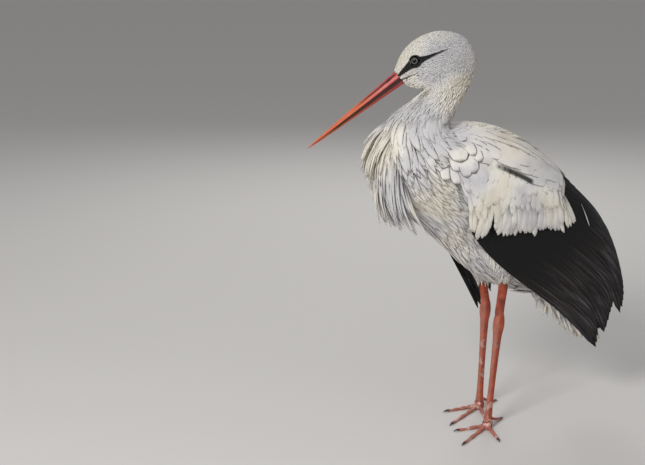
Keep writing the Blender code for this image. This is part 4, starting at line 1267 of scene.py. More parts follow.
def make_coverts(name, side):
    """White coverts: long fingers down to the scalloped edge, smooth rows above them up to the crease, and
    one white edge that shows between the black feathers."""
    rng = np.random.default_rng(21 + side)
    made = []
    notch = (NOTCH[0] + NOTCH[1]) / 2 - 0.0035
    for k, (above, gap, length, half, scatter) in enumerate(COVERT_ROWS):
        first = np.interp(0.385 + above, *COVERT_FRONT.T) + 0.004
        last = np.interp(0.385 + above, *COVERT_REAR.T) - 0.001
        count = int((last - first) / gap)
        slot = (np.arange(count) + 0.35 + 0.5 * (k % 2) + rng.uniform(-0.16, 0.16, count)) / count
        x = first + (last - first) * slot
        if k < FINGER_ROWS:
            x = x + np.sign(x - notch) * np.clip(0.0075 - np.abs(x - notch), 0, None)
        z = np.maximum(covert_edge(x, False) + above, covert_edge(x) + 0.3 * above)
        z = z + rng.normal(0, scatter, count)
        lean = np.interp(x, (-0.10, -0.05, 0.05, 0.12), (0.16, -0.04, 0.16, 0.52))
        lean = lean + rng.normal(0, 0.035, count)
        made.append(np.stack((x, z, lean, np.full(count, -1.0), length * rng.uniform(0.9, 1.1, count),
                              half * rng.uniform(0.75, 1.25, count), np.full(count, k))))
    edge_tip, edge_root = WHITE_EDGE
    made.append(np.array((*edge_tip, *(edge_tip - edge_root), 0.042, 0.0015, -1))[:, None])
    made = np.concatenate(made, 1)
    room = hull_top(made[0]) - 0.012 - made[1]  # roots stay below the back's ridge
    made[4] = np.minimum(made[4], room)
    made = made[:, room > 0.022]
    tip, heading, (length, half, kind) = made[:2].T, made[2:4].T, made[4:]
    finger = kind < FINGER_ROWS
    root = np.where(kind < 0, 0.0006, np.where(finger, -0.0016, -0.0022))[:, None]
    end = np.interp(kind, (-1, 0, 1, 2, 6), (0.0014, -0.0004, 0.0000, 0.0003, 0.0003))[:, None]
    lines, normal = lie_on_wing(tip, heading, length, side, (root, end), 9)
    count = len(tip)
    vane = np.where(finger[:, None], outline(9, "finger"), outline(9, "covert"))
    make_feathers(f"wing_{name}_covert_feathers", lines, normal, half[:, None] * vane,
                  wing_patch(tip, length), rng.random(count), columns=7, thick=0.00014,
                  cup=np.where(finger, 0.20, 0.07), jag=rng.uniform(-0.0016, 0.0008, (count, 7)),
                  replaced=(f"wing_{name}_coverts",),
                  dark=np.interp(kind, (1, 2, 3, 4), (0.95, 0.35, 0.10, 0.0)), roll=0.010 * side)


# Line along which the lowest scapulars end: x, z.
SCAPULAR_EDGE = (
    (-0.060, 0.517), (-0.026, 0.5035), (0.003, 0.490), (0.030, 0.477), (0.062, 0.464), (0.096, 0.450),
)


def make_scapulars(name, side):
    """Broad smooth scapulars along the back, laid parallel to the crease and ending over
    the black tertials."""
    rng = np.random.default_rng(31 + side)
    tips, headings = [], []
    count = 10
    for k, above in enumerate(np.arange(0.0, 0.075, 0.0105)):
        share = (np.arange(count) + 0.5 * (k % 2) + rng.uniform(-0.15, 0.15, count)) / (count - 1)
        tips.append(across(SCAPULAR_EDGE, np.clip(share, 0, 1)) + np.array((0.42, 0.91)) * above)
        slope = np.interp(share, (0, 0.6, 1), (-0.46, -0.50, -0.72))
        headings.append(np.stack((np.ones(count), slope + rng.normal(0, 0.03, count)), -1))
    tip, heading = np.concatenate(tips), np.concatenate(headings)
    deep = hull_top(tip[:, 0]) - tip[:, 1]
    tip, heading, deep = (a[deep > 0.012] for a in (tip, heading, deep))
    count = len(tip)
    length = rng.uniform(0.064, 0.084, count)
    lines, normal = lie_on_wing(tip, heading, length, side, (-0.0024, 0.0003), 8, 0.006)
    half = rng.uniform(0.0135, 0.0165, (count, 1)) * outline(8, "scapular")
    make_feathers(f"wing_{name}_scapulars", lines, normal, half, wing_patch(tip, length),
                  rng.random(count) * 0.5, columns=9, thick=0.00014,
                  cup=np.interp(deep, (0.012, 0.07), (0.15, 0.06)),
                  jag=rng.uniform(-0.0012, 0.0006, (count, 9)), dark=0.0, roll=-0.012 * side,
                  tan=0.6 * (1 - smooth(deep, 0.004, 0.030)) * smooth(tip[:, 0], -0.05, 0.01))


def make_shoulder(name, side):
    """Large rounded feathers over the wing's bend, with painted shadow round their outlines, each
    overlapping the one below.
    """
    rng = np.random.default_rng(41 + side)
    tip, heading = SHOULDER_FEATHERS[:, :2], SHOULDER_FEATHERS[:, 2:4]
    length, half, height = SHOULDER_FEATHERS[:, 4:].T
    patch = wing_patch(tip, length)
    length = np.minimum(length, hull_top(tip[:, 0]) - 0.004 - tip[:, 1])
    lines, normal = lie_on_wing(tip, heading, length, side, (-0.0030, height[:, None]), 12)
    jag = rng.uniform(-0.0012, 0.0008, (len(tip), 9))
    make_feathers(f"wing_{name}_shoulder", lines, normal, half[:, None] * outline(12, "shoulder"), patch,
                  rng.random(len(tip)) * 0.4, columns=9, thick=0.0003, cup=0.07, jag=jag, dark=0.25,
                  rim=0.85)


def bezier(controls, rows, reach):
    """Points on cubic curves up to a reach: (1-t)^3 root + 3t(1-t)^2 first bend +
    3t^2(1-t) second bend + t^3 tip."""
    t = np.linspace(0, 1, rows)[:, None] * reach[:, None, None]
    a, b, c, d = (controls[:, None, k:k + 2] for k in (0, 2, 4, 6))
    return (1 - t) ** 3 * a + 3 * t * (1 - t) ** 2 * b + 3 * t**2 * (1 - t) * c + t**3 * d


def make_flight(name, side):
    """Black tertials, secondaries and primaries: long vanes that overlap like a closed fan. The upper ones
    end along the wing's rear edge, the primaries in long separate points."""
    rng = np.random.default_rng(51 + side)
    rows, columns = 18, 9
    last = 8.1 if side < 0 else 5.6  # the right wing's outer primaries hang out of the fold
    t = np.linspace(0, 1, rows)
    for kind, places, wide in (("secondaries", np.linspace(0.0, FIRST_PRIMARY - 0.4, 13), 0.0140),
                               ("primaries", np.arange(FIRST_PRIMARY, last, 0.25), 0.0145)):
        label, replaced = kind, (f"wing_{name}_{kind}",)
        if side > 0 and kind == "primaries":
            label, replaced = "inner_primaries", ()
        between = (kind == "primaries") & (places % 1 != 0) & (np.floor(places) % 2 == 0)
        reach = np.where(between, 0.88, 1.0)  # feathers that stop short leave the notches between the points
        x, z = np.moveaxis(bezier(curve_through(FLIGHT, places), rows, reach), -1, 0)
        z = np.minimum(z, hull_top(x) - 0.010 + 0.007 * t**2)
        lift = (0.0016 - 0.0007 * places)[:, None] - 0.0030 * (1 - t) ** 2
        lines, normal = drape(x, z, lift, side)
        half = wide * outline(rows, kind) * rng.uniform(0.94, 1.06, (len(places), 1))
        patch = np.stack((0.1 + 0.09 * places, np.full(len(places), 0.5)), -1)
        make_feathers(f"wing_{name}_{label}_vanes", lines, normal, half, patch, rng.random(len(places)),
                      "black", columns, thick=0.0004, cup=0.14,
                      jag=rng.uniform(-0.002, 0.001, (len(places), columns)),
                      shaft=0.0007, replaced=replaced)


def ridge(x, y, lift):
    """(point, normal) on the back over both wings: the height at which the side hull is as far out as y,
    which is the superellipse read the other way, raised by the lift."""
    top, depth, half = hull_at(x)
    above = (1 - np.clip(np.abs(y) / half, 0, 0.99) ** HULL_POWER) ** (1 / HULL_POWER)
    step = 0.004
    slope = (hull_top(x + step) - hull_top(x - step)) / (2 * step)
    normal = unit(np.stack((-slope, y * 6.0, np.ones_like(slope)), -1))
    return np.stack((x, y, top - depth + depth * above), -1) + normal * lift[..., None], normal


def make_back():
    """Feathers along the middle of the back: white from the neck's foot over the ridge between the wings, and
    black tertials behind them down to the wings' tips."""
    rng = np.random.default_rng(45)
    rows = 9
    t = np.linspace(0, 1, rows)
    for paint, first, last, gap, lengths, wide, columns, lift, dark in (
            ("white", -0.118, 0.098, 0.0090, (0.042, 0.062), 0.0092, 11, 0.0008 + 0.0036 * t**0.7, 0.08),
            ("black", 0.076, 0.225, 0.0150, (0.060, 0.070), 0.0105, 9, 0.0060 * t - 0.0030, 0.0)):
        across_back = 0.0098 * (np.arange(columns) - columns // 2)
        x, y = np.meshgrid(np.arange(first, last, gap), across_back, indexing="ij")
        x = (x + gap * 0.5 * (np.arange(columns) % 2) + rng.uniform(-0.42, 0.42, x.shape) * gap).ravel()
        y = (y + rng.normal(0, 0.0012, y.shape)).ravel()
        count = len(x)
        slope = np.interp(x, HULL[:, 0], np.gradient(HULL[:, 1], HULL[:, 0]))
        run = rng.uniform(*lengths, count) / np.hypot(1, slope)
        at = np.minimum(x[:, None] + run[:, None] * t, 0.262)
        narrow = np.interp(at, (-0.118, -0.06, 0.10, 0.25), (0.55, 1.0, 1.0, 0.45))
        points, normal = ridge(at, y[:, None] * narrow, np.broadcast_to(lift, at.shape))
        half = wide * rng.uniform(0.85, 1.15, (count, 1)) * outline(rows, "back") * narrow
        patch = np.stack((0.04 + 3.0 * (x + 0.13) * 0.75, 0.5 + 8.0 * y), -1)
        make_feathers(f"back_{paint}_feathers", points, normal, half, patch, rng.random(count) * 0.6, paint,
                      columns=7, thick=0.00016, cup=0.04, dark=dark,
                      tan=0.45 * smooth(x, -0.05, 0.01))


def make_hanging_primaries():
    """The right wing's primaries that have slipped out of the fold and hang beside the flank: (1-t)^2 root +
    2t(1-t) bend + t^2 tip, laid on the hull and then drawn out to where the tips hang."""
    rng = np.random.default_rng(61)
    count, rows, columns = 6, 16, 9
    share = np.linspace(0, 1, count) + rng.uniform(-0.07, 0.07, count) * (1, 1, 1, 1, 1, 0)
    tables = (HANGING_ROOTS, HANGING_BENDS, HANGING_TIPS)
    root, bend, tip = (across(table, share)[:, None] for table in tables)
    t = np.linspace(0, 1, rows)
    s = t[:, None]
    xz = (1 - s) ** 2 * root + 2 * s * (1 - s) * bend + s**2 * tip
    lines, normal = drape(xz[..., 0], xz[..., 1], -0.0042 - 0.0035 * (1 - t) ** 2, 1)
    lines[..., 1] += (HANGING_TIP_Y - 0.0012 * np.arange(count)[:, None] - lines[..., 1]) * t**1.3
    half = 0.0125 * outline(rows, "hanging") * rng.uniform(0.92, 1.08, (count, 1))
    patch = np.stack((0.1 + 0.8 * share, np.full(count, 0.3)), -1)
    make_feathers("wing_right_primaries_hanging", lines, normal, half, patch, rng.random(count), "black",
                  columns, thick=0.0004, cup=0.10, jag=rng.uniform(-0.003, 0.002, (count, columns)),
                  shaft=0.0007, replaced=("wing_right_primaries",))


def make_tail():
    """Twelve white tail feathers fanned over the tail's base, and the soft coverts above and below it."""
    rng = np.random.default_rng(71)
    count, rows = 12, 12
    place = (np.arange(count) - 5.5) / 5.5
    t = np.linspace(0, 0.90, rows)
    middle, axis = tail_section(t)
    xz = middle + axis * np.cos(place * 1.15)[:, None, None] - np.array((0.0, 0.004))
    y = place[:, None] * (0.030 + TAIL_SPREAD * t)
    lines = np.stack((xz[..., 0], y, xz[..., 1]), -1)
    normal = np.stack((0.9 + 0 * place, 0.9 * place, 0.3 + 0 * place), -1)
    normal = np.broadcast_to(normal[:, None], lines.shape)
    half = 0.0100 * outline(rows, "tail") * np.ones((count, 1))
    patch = np.stack((0.5 + 0.4 * place, np.full(count, 0.1)), -1)
    make_feathers("tail_feathers", lines, unit(normal), half, patch, rng.random(count), columns=9,
                  thick=0.0005, cup=0.12, jag=rng.uniform(-0.003, 0.001, (count, 9)), shaft=0.0006,
                  replaced=("tail",))
    make_tail_coverts(rng)


def make_tail_coverts(rng):
    """Soft coverts all round the tail's base: roots on the wedge, lying towards the
    tail's tip, loose below."""
    count, rows = 1400, 6
    steps = np.linspace(0, 1, rows)
    t0, angle = rng.uniform(-0.42, 0.77, count), rng.uniform(0, 2 * math.pi, count)
    t = t0[:, None] + steps * (rng.uniform(0.034, 0.058, count) / TAIL_LENGTH)[:, None]
    middle, axis = tail_section(np.clip(t, 0, 1.0))
    under = np.clip(-np.cos(angle), 0, 1)[:, None]
    loose = 0.025 * under * rng.random((count, 1)) ** 2 * smooth(t0, -0.1, 0.25)[:, None]
    lift = -0.006 + steps * (0.0062 + loose)
    axis = axis * (1 + lift / np.maximum(np.linalg.norm(axis, axis=-1), 0.004))[..., None]
    turn = angle[:, None] + rng.normal(0, 0.08, (count, 1)) * steps
    xz = middle + axis * np.cos(turn)[..., None]
    xz = xz + np.clip(t - 1.0, 0, 1)[..., None] * np.array((0.02, -0.10))
    xz = xz + np.minimum(t, 0)[..., None] * np.array((0.16, -0.10))
    y = (TAIL_HALF_WIDTH + TAIL_SPREAD * np.clip(t, 0, 1) + lift) * np.sin(turn)
    lines = np.stack((xz[..., 0], y, xz[..., 1]), -1)
    out = lines - np.stack((middle[..., 0], np.zeros_like(y), middle[..., 1]), -1)
    half = rng.uniform(0.0034, 0.0060, (count, 1)) * outline(rows, "loose")
    patch = np.stack((0.05 + 0.9 * angle / (2 * math.pi), 0.05 + 0.85 * np.clip(t0, 0, 1)), -1)
    make_feathers("tail_coverts", lines, unit(out), half, patch, rng.random(count),
                  jag=rng.uniform(-0.005, 0.001, (count, 5)), dark=0.06)


# ---------------------------------------- bill and eyes

BILL_SHARES = (-0.05, 0.0, 0.06, 0.17, 0.35, 0.52, 0.69, 0.86, 0.96, 1.0)
BILL_TAPER = (0.80, 0.94, 0.90, 0.80, 0.68, 0.54, 0.385, 0.24, 0.11, 0.035)
BILL_STRETCHES = ((-0.05, 0.30, 60), (0.31, 0.90, 50), (0.91, 1.0, 16))  # from, to and count of its rings
BILL_HALF_WIDTH = 0.0112
SEAM_HALF = 0.0002  # half of the gap between the mandibles


def with_ends(values, ends=(0.0, 1.0)):
    """Values on a closed tube's rings, followed by those of its two end points."""
    return np.append(values.ravel(), ends)


def mandible(name, sign, part):
    """One mandible: half an ellipse over a flat seam, tapered along the bill, with the nasal groove and the
    nostril pressed into the upper one."""
    base = (STATIONS[0, 0:2] + STATIONS[0, 2:4]) / 2
    along = np.array((-math.cos(BILL_DOWN), -math.sin(BILL_DOWN)))
    up = np.array((along[1], -along[0]))
    share = np.concatenate([np.linspace(*stretch) for stretch in BILL_STRETCHES])
    taper = np.interp(share, BILL_SHARES, BILL_TAPER)
    arc = np.linspace(0, math.pi, 33)
    flat = np.linspace(math.pi, 2 * math.pi, 9)[1:-1]
    s = share[:, None]
    height = np.sin(arc) ** 1.2 * np.ones_like(s)
    groove = np.zeros_like(height)
    nostril = np.zeros_like(height)
    if sign > 0:
        groove = np.exp(-((height - 0.74) / 0.12) ** 2) * smooth(s, 0.0, 0.02) * (1 - smooth(s, 0.30, 0.52))
        nostril = np.exp(-((height - 0.72) / 0.14) ** 2) * np.exp(-((s - 0.085) / 0.022) ** 4)
    pressed = 1 - 0.10 * groove - 0.10 * nostril
    half = np.maximum(BILL_HALF_WIDTH * taper, 0.0006)[:, None] * pressed
    tall = np.maximum(BILL_HALF_DEPTH * taper * part, 0.0008)[:, None]
    y = np.concatenate((half * np.cos(arc), half[:, :1] * np.cos(flat)), 1)
    lift = SEAM_HALF + (tall - SEAM_HALF) * height * (1 - 0.03 * groove)
    lift = np.concatenate((lift, SEAM_HALF * np.ones((len(share), len(flat)))), 1)
    run = share * BILL_LENGTH * (1 if sign > 0 else 0.985)
    middle = base + along * run[:, None] + up * 0.0015
    rings = np.stack((middle[:, :1] + up[0] * lift * sign, y, middle[:, 1:] + up[1] * lift * sign), -1)
    points, quads, tris = closed_tube(turned(rings, HEAD_TURN))
    zeros = np.zeros((len(share), len(flat)))
    height = np.concatenate((height, zeros), 1)
    # Painted shade in the nasal groove and nostril, carried by the groove colour.
    dark = np.concatenate((np.clip(groove * 1.1 + nostril, 0, 1), zeros + 1), 1)
    seam = 1 - smooth(height, 0.03, 0.20)
    # Painted shade: on the lower mandible the groove colour also darkens the side up from the seam, all but
    # the bottom, fading out towards the tip.
    if sign < 0:
        seam = np.maximum(seam, 0.95 * (1 - smooth(height, 0.40, 0.70)) * (1 - smooth(s, 0.65, 0.92)))
    dark = np.maximum(dark, seam)
    values = {"run": with_ends(s + 0 * height), "height": with_ends(height),
              "groove": with_ends(dark, (0.0, 0.0))}
    add_piece(f"{name}_horn", points, quads, tris, bill_horn(), "red bill", (name,), values)


def make_eyeball(name, side):
    """A sphere about the pupil's axis with a slightly raised cornea over the iris."""
    axis = eye_axis(side)
    polar = np.linspace(0, math.pi, 60)[1:-1, None]
    turn = np.linspace(0, 2 * math.pi, 72, endpoint=False)
    radius = EYE_RADIUS - 0.0002 + 0.0006 * (1 - smooth(np.degrees(polar), 20, 44))
    wide = unit(np.cross(axis, (0.0, 0.0, 1.0)))
    tall = np.cross(wide, axis)
    ring = np.cos(turn)[:, None] * wide + np.sin(turn)[:, None] * tall
    rings = (EYE_CENTRES[name] + (radius * np.cos(polar))[..., None] * axis
             + (radius * np.sin(polar))[..., None] * ring)
    values = {"polar": with_ends(np.degrees(polar) + 0 * turn, (0.0, 180.0)),
              "turn": with_ends(np.abs(turn / math.pi - 1) + 0 * polar, (0.0, 0.0))}
    add_piece(f"eyeball_{name}", *closed_tube(rings), eye_glass(), "eye", (f"eye_{name}",), values)


# ---------------------------------------- legs, feet and claws

def rings_on(path, halves, facing, sides, squared=1.0):
    """Elliptical rings that all face one way round a path. halves are the half sizes across and up, or along
    X for an upright tube, and a power below one squares the section off."""
    hint = np.array((1.0, 0.0, 0.0) if facing[2] else (0.0, 0.0, 1.0))
    across_axis = np.cross(facing, hint)
    angle = np.linspace(0, 2 * math.pi, sides, endpoint=False)
    c, s = (np.sign(wave) * np.abs(wave) ** squared for wave in (np.cos(angle), np.sin(angle)))
    ring = (halves[:, :1] * c)[..., None] * across_axis
    return path[:, None] + ring + (halves[:, 1:] * s)[..., None] * hint


# Ankle and tarsus below the shank: height over the ankle, half sizes across and along X.
TARSUS_SECTIONS = np.array((
    (0.0156, 0.0076, 0.0082), (0.008, 0.0089, 0.0097), (-0.002, 0.0092, 0.0104), (-0.012, 0.0085, 0.0096),
    (-0.026, 0.0069, 0.0078), (-0.070, 0.0057, 0.0064), (-0.120, 0.0052, 0.0058), (-0.160, 0.0055, 0.0062),
))
# Knob of the foot: height as a share of the ankle's, half size.
KNOB_SECTIONS = np.array(((0.09, 0.0072), (0.045, 0.0090), (0.012, 0.0088), (0.0, 0.0066)))


def leg_rings(leg):
    """Rings from the shank's top over the ankle's knuckle down the tarsus to the knob of the foot."""
    ankle, foot = np.array(leg["ankle"]), np.array(leg["foot"])
    top = thigh_line(leg)[1]
    share = np.linspace(0, 0.92, 4)[:, None]
    shank = top + (ankle + (0, 0, 0.016) - top) * share
    shank[0, 2] += 0.012
    swell = 0.0070 + 0.0014 * (1 - share) ** 2 + 0.0006 * share**3
    tarsus = foot + (ankle - foot) * ((ankle[2] + TARSUS_SECTIONS[:, :1]) / ankle[2])
    knob = foot + (ankle - foot) * KNOB_SECTIONS[:, :1]
    path = np.concatenate((shank, tarsus, knob))
    halves = np.concatenate((swell * (1, 1.08), TARSUS_SECTIONS[:, 1:], KNOB_SECTIONS[:, 1:] * (1, 1)))
    t = np.linspace(0, len(path) - 1, 8 * (len(path) - 1) + 1)
    path, halves = curve_through(path, t), curve_through(halves, t)
    path[:, 2] = np.clip(path[:, 2], 0.0, None)
    return rings_on(path, halves, np.array((0.0, 0.0, -1.0)), 28, 0.9)


def toe_line(name, toe):
    """(path, half widths, heading) of a toe from under the knob to its claw, thick at the joints' pads."""
    heading, length, _, joints = TOES[name][toe]
    a = math.radians(heading)
    out = np.array((-math.cos(a), -math.sin(a), 0.0))
    share = np.linspace(0, 1, 12 * joints + 6)
    pads = 1 + 0.15 * np.cos(2 * math.pi * joints * share)
    wide = TOE_HALF_WIDTH * (1 - 0.30 * share) * pads
    raised = HIND_TOE_HEIGHT if toe == "hind" else 0.0056
    lowest = wide * 0.82
    height = lowest + (raised - lowest) * (1 - share) ** (1.3 if toe == "hind" else 3)
    start = 0.002
    path = np.array(LEGS[name]["foot"]) + out * (start + (length - start) * share)[:, None]
    path[:, 2] = height
    return path, wide, out


def web_rings(name, first, second):
    """Top and bottom outline of the small web between two toes: its free edge curves in between them."""
    foot = np.array(LEGS[name]["foot"])
    a, b = toe_line(name, first)[2], toe_line(name, second)[2]
    t = np.linspace(0, 1, 12)[:, None]
    edge = a * 0.022 * (1 - t) ** 2 + (a + b) * 0.0065 * 2 * t * (1 - t) + b * 0.022 * t**2
    outline_xy = np.concatenate((foot + edge, foot[None]))
    low, high = outline_xy.copy(), outline_xy.copy()
    low[:, 2], high[:, 2] = 0.0012, np.append(0.0040 + 0.0010 * np.abs(2 * t[:, 0] - 1), 0.007)
    return np.stack((high, low))


def hexagons(u, v, size):
    """1 in the seams between hexagonal scales of a size, 0 on them."""
    p = np.stack((u, v), -1) / size
    cell = np.array((1.0, math.sqrt(3)))
    first = (p % cell) - cell / 2
    second = ((p - cell / 2) % cell) - cell / 2
    nearer = np.sum(first**2, -1, keepdims=True) < np.sum(second**2, -1, keepdims=True)
    g = np.abs(np.where(nearer, first, second))
    edge = 0.5 - np.maximum(g[..., 0], g[..., 0] * 0.5 + g[..., 1] * math.sqrt(3) / 2)
    return 1 - smooth(edge, 0.02, 0.16)


def scale_pattern(points, name):
    """(seam, front) over a leg: seam marks hexagonal scales round the shank and tarsus and plates across
    the toes, and front the forward side of the tarsus."""
    leg = LEGS[name]
    ankle, foot = np.array(leg["ankle"]), np.array(leg["foot"])
    z = points[:, 2]
    middle = foot + (ankle - foot) * (z / ankle[2])[:, None]
    offset = points - middle
    angle = np.arctan2(offset[:, 1], -offset[:, 0])
    seam = hexagons(angle * 0.0063, z, 0.0034)
    toes = np.zeros(len(points))
    best = np.full(len(points), 1.0)
    for toe in TOES[name]:
        out = toe_line(name, toe)[2]
        along = (points - foot) @ out
        aside = np.abs((points - foot) @ np.cross(out, (0, 0, 1.0)))
        nearer = (aside < best) & (along > 0.004)
        best = np.where(nearer, aside, best)
        band = 1 - smooth(np.abs((along / 0.0030) % 1.0 - 0.5), 0.06, 0.20)
        toes = np.where(nearer, band, toes)
    low = 1 - smooth(z, 0.010, 0.022)
    seam = seam * (1 - low) + toes * low
    # front marks the tarsus's forward side, where the leg's material paints a highlight.
    front = smooth(-offset[:, 0], 0.001, 0.005) * (1 - smooth(z, 0.19, 0.24))
    return seam, front


def make_leg(name):
    """One leg's bare skin: shank, ankle, tarsus, toes and webs joined by a voxel remesh and smoothed, with
    the seams between its scales pressed in along the normals."""
    rings = [leg_rings(LEGS[name])]
    for toe in TOES[name]:
        path, wide, out = toe_line(name, toe)
        rings.append(rings_on(path, np.stack((wide, wide * 0.92), -1), out, 20))
    order = ("outer", "middle", "inner")
    rings += [web_rings(name, *pair) for pair in zip(order, order[1:])]
    piece = solid(f"leg_{name}", *rings)
    remesh = piece.modifiers.new("one skin", "REMESH")
    remesh.mode = "VOXEL"
    remesh.voxel_size = 0.0008
    soften = piece.modifiers.new("soft joins", "SMOOTH")
    soften.factor = 0.5
    soften.iterations = 4
    points, normal = apply_modifiers(piece)
    seam, front = scale_pattern(points, name)
    points = points + normal * (0.00025 - 0.00045 * seam)[:, None]
    points[:, 2] = np.maximum(points[:, 2], 0.0)
    settle(piece.data, points, {"seam": seam, "front": front})
    finish_piece(piece, leg_scales(),
                 [f"shank_{name}", f"tarsus_{name}", *(f"toe_{name}_{toe}" for toe in TOES[name])])


def make_claws(name):
    """Curved claws at the toes' ends, flattened below and drawn to a point."""
    for toe, (_, length, claw, _) in TOES[name].items():
        path, wide, out = toe_line(name, toe)
        t = np.linspace(0, 1, 18)
        half = wide[-1] * np.interp(t, (0.0, 0.15, 0.4, 0.75, 1.0), (0.80, 0.92, 0.72, 0.38, 0.08))
        line = np.array(LEGS[name]["foot"]) + out * (length - 0.0012 + (claw + 0.0012) * t)[:, None]
        line[:, 2] = path[-1, 2] + 0.0012 * np.sin(math.pi * t) - 0.0018 * t**2
        rings = rings_on(line, np.stack((half, half * 0.85), -1), out, 16)
        rings[..., 2] = np.maximum(rings[..., 2], 0.0)
        claw_name = f"claw_{name}_{toe}"
        add_piece(f"{claw_name}_horn", *closed_tube(rings), claw_horn(), "horn", (claw_name,),
                  {"run": with_ends(np.repeat(t, 16))})


# ---------------------------------------- stage

CAMERA_PLACE = np.array((-1.05162, -1.97780, 0.905))  # from the stance point
CAMERA_AIM = (0.33468, 0.91184, -0.23776)
# Lights: name, place, size, share of the key light's power.
LIGHTS = (
    ("key", (-2.3, -1.7, 2.2), 1.1, 1.0),
    ("fill", (1.6, -2.2, 1.0), 2.2, 0.10),
    ("back", (0.9, 2.2, 2.0), 1.6, 0.30),
)
LIGHT_AIM = Vector((0, 0, 0.40))
FLOOR_REACH = 40.0
SURROUND = (0.90, 0.90, 0.92, 1.0)
SURROUND_STRENGTH = 0.36


def make_stage():
    """Pale floor, three soft lights, an even surround and the camera."""
    scene = bpy.context.scene
    mesh = bpy.data.meshes.new("floor")
    corners = [(x * FLOOR_REACH, y * FLOOR_REACH, 0) for x, y in ((-1, -1), (1, -1), (1, 1), (-1, 1))]
    mesh.from_pydata(corners, [], [(0, 1, 2, 3)])
    mesh.materials.append(floor_paint())
    new_object("floor", mesh)
    for name, place, size, share in LIGHTS:
        data = bpy.data.lights.new(name, "AREA")
        data.shape = "DISK"
        data.size = size
        data.energy = scene.stork_stage.key_power * share
        lamp = new_object(name, data)
        lamp.location = place
        lamp.rotation_euler = (LIGHT_AIM - Vector(place)).to_track_quat("-Z", "Y").to_euler()
    scene.world = bpy.data.worlds.new("surround")
    scene.world.use_nodes = True
    background = scene.world.node_tree.nodes["Background"].inputs
    background["Color"].default_value = SURROUND
    background["Strength"].default_value = SURROUND_STRENGTH
    scene.view_settings.view_transform = "Standard"
    data = bpy.data.cameras.new("camera")
    data.sensor_width = 36.0
    data.lens = scene.stork_stage.lens
    scene.camera = new_object("camera", data)
    scene.camera.location = CAMERA_PLACE + PLACE
    scene.camera.rotation_euler = Vector(CAMERA_AIM).to_track_quat("-Z", "Y").to_euler()


# ---------------------------------------- operators and panel

class STORK_OT_skin(bpy.types.Operator):
    """Make the skin that lies under the coat"""
    bl_idname = "stork.skin"
    bl_label = "Skin"

    def execute(self, context):
        make_skin()
        return {"FINISHED"}


class STORK_OT_head_coat(bpy.types.Operator):
    """Cover the head and the neck with fine feathers"""
    bl_idname = "stork.head_coat"
    bl_label = "Head and neck feathers"

    def execute(self, context):
        make_head_feathers()
        make_neck_feathers()
        return {"FINISHED"}


class STORK_OT_breast(bpy.types.Operator):
    """Hang the shaggy plumes on the breast"""
    bl_idname = "stork.breast"
    bl_label = "Breast plumes"

    def execute(self, context):
        make_breast_plumes()
        make_breast_sides()
        return {"FINISHED"}


class STORK_OT_body_coat(bpy.types.Operator):
    """Cover the mantle, belly and thighs with soft feathers"""
    bl_idname = "stork.body_coat"
    bl_label = "Body feathers"

    def execute(self, context):
        make_mantle()
        make_belly_feathers()
        make_thigh_feathers()
        return {"FINISHED"}


class STORK_OT_wings(bpy.types.Operator):
    """Lay the flight feathers and the white coverts of both wings"""
    bl_idname = "stork.wings"
    bl_label = "Wings"

    def execute(self, context):
        for name, side in SIDES.items():
            make_flight(name, side)
            make_coverts(name, side)
            make_scapulars(name, side)
            make_shoulder(name, side)
        make_hanging_primaries()
        make_back()
        return {"FINISHED"}


class STORK_OT_tail(bpy.types.Operator):
    """Fan the tail feathers and their coverts"""
    bl_idname = "stork.tail"
    bl_label = "Tail"

    def execute(self, context):
        make_tail()
        return {"FINISHED"}


class STORK_OT_bill(bpy.types.Operator):
    """Make both mandibles of the bill"""
    bl_idname = "stork.bill"
    bl_label = "Bill"

    def execute(self, context):
        mandible("bill_upper", 1, 1.0)
        mandible("bill_lower", -1, 0.93)
        return {"FINISHED"}


class STORK_OT_eyes(bpy.types.Operator):
    """Set both eyeballs"""
    bl_idname = "stork.eyes"
    bl_label = "Eyes"

    def execute(self, context):
        for name, side in SIDES.items():
            make_eyeball(name, side)
        return {"FINISHED"}


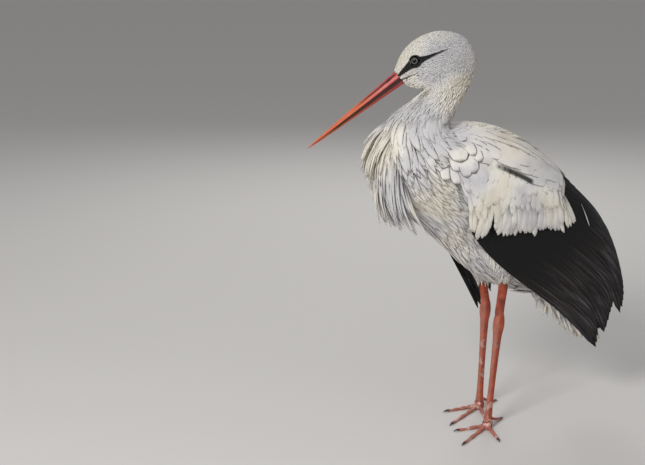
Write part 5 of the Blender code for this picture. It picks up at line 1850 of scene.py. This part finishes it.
class STORK_OT_legs(bpy.types.Operator):
    """Make the scaled legs and feet"""
    bl_idname = "stork.legs"
    bl_label = "Legs"

    def execute(self, context):
        for name in LEGS:
            make_leg(name)
        return {"FINISHED"}


class STORK_OT_claws(bpy.types.Operator):
    """Make the claws of both feet"""
    bl_idname = "stork.claws"
    bl_label = "Claws"

    def execute(self, context):
        for name in LEGS:
            make_claws(name)
        return {"FINISHED"}


class STORK_OT_stage(bpy.types.Operator):
    """Set the floor, the lights and the camera"""
    bl_idname = "stork.stage"
    bl_label = "Stage"

    def execute(self, context):
        make_stage()
        return {"FINISHED"}


OPERATORS = (
    STORK_OT_skin, STORK_OT_head_coat, STORK_OT_breast, STORK_OT_body_coat, STORK_OT_wings, STORK_OT_tail,
    STORK_OT_bill, STORK_OT_eyes, STORK_OT_legs, STORK_OT_claws, STORK_OT_stage,
)
SETTINGS = {"stork_plumage": PlumageSettings, "stork_bare": BareSettings, "stork_stage": StageSettings}


class STORK_PT_panel(bpy.types.Panel):
    """Lists the stork's pieces and settings"""
    bl_idname = "STORK_PT_panel"
    bl_label = "White stork"
    bl_space_type = "VIEW_3D"
    bl_region_type = "UI"
    bl_category = "Stork"

    def draw(self, context):
        for operator in OPERATORS:
            self.layout.operator(operator.bl_idname)
        for key, kind in SETTINGS.items():
            box = self.layout.box()
            for name in kind.__annotations__:
                box.prop(getattr(context.scene, key), name)


def register():
    for cls in (*SETTINGS.values(), *OPERATORS, STORK_PT_panel):
        bpy.utils.register_class(cls)
    for key, kind in SETTINGS.items():
        setattr(bpy.types.Scene, key, bpy.props.PointerProperty(type=kind))


def unregister():
    for key in SETTINGS:
        delattr(bpy.types.Scene, key)
    for cls in (STORK_PT_panel, *reversed(OPERATORS), *SETTINGS.values()):
        bpy.utils.unregister_class(cls)


def main():
    """Registers the add-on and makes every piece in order."""
    register()
    for operator in OPERATORS:
        group, action = operator.bl_idname.split(".")
        getattr(getattr(bpy.ops, group), action)()


if __name__ == "__main__":
    main()
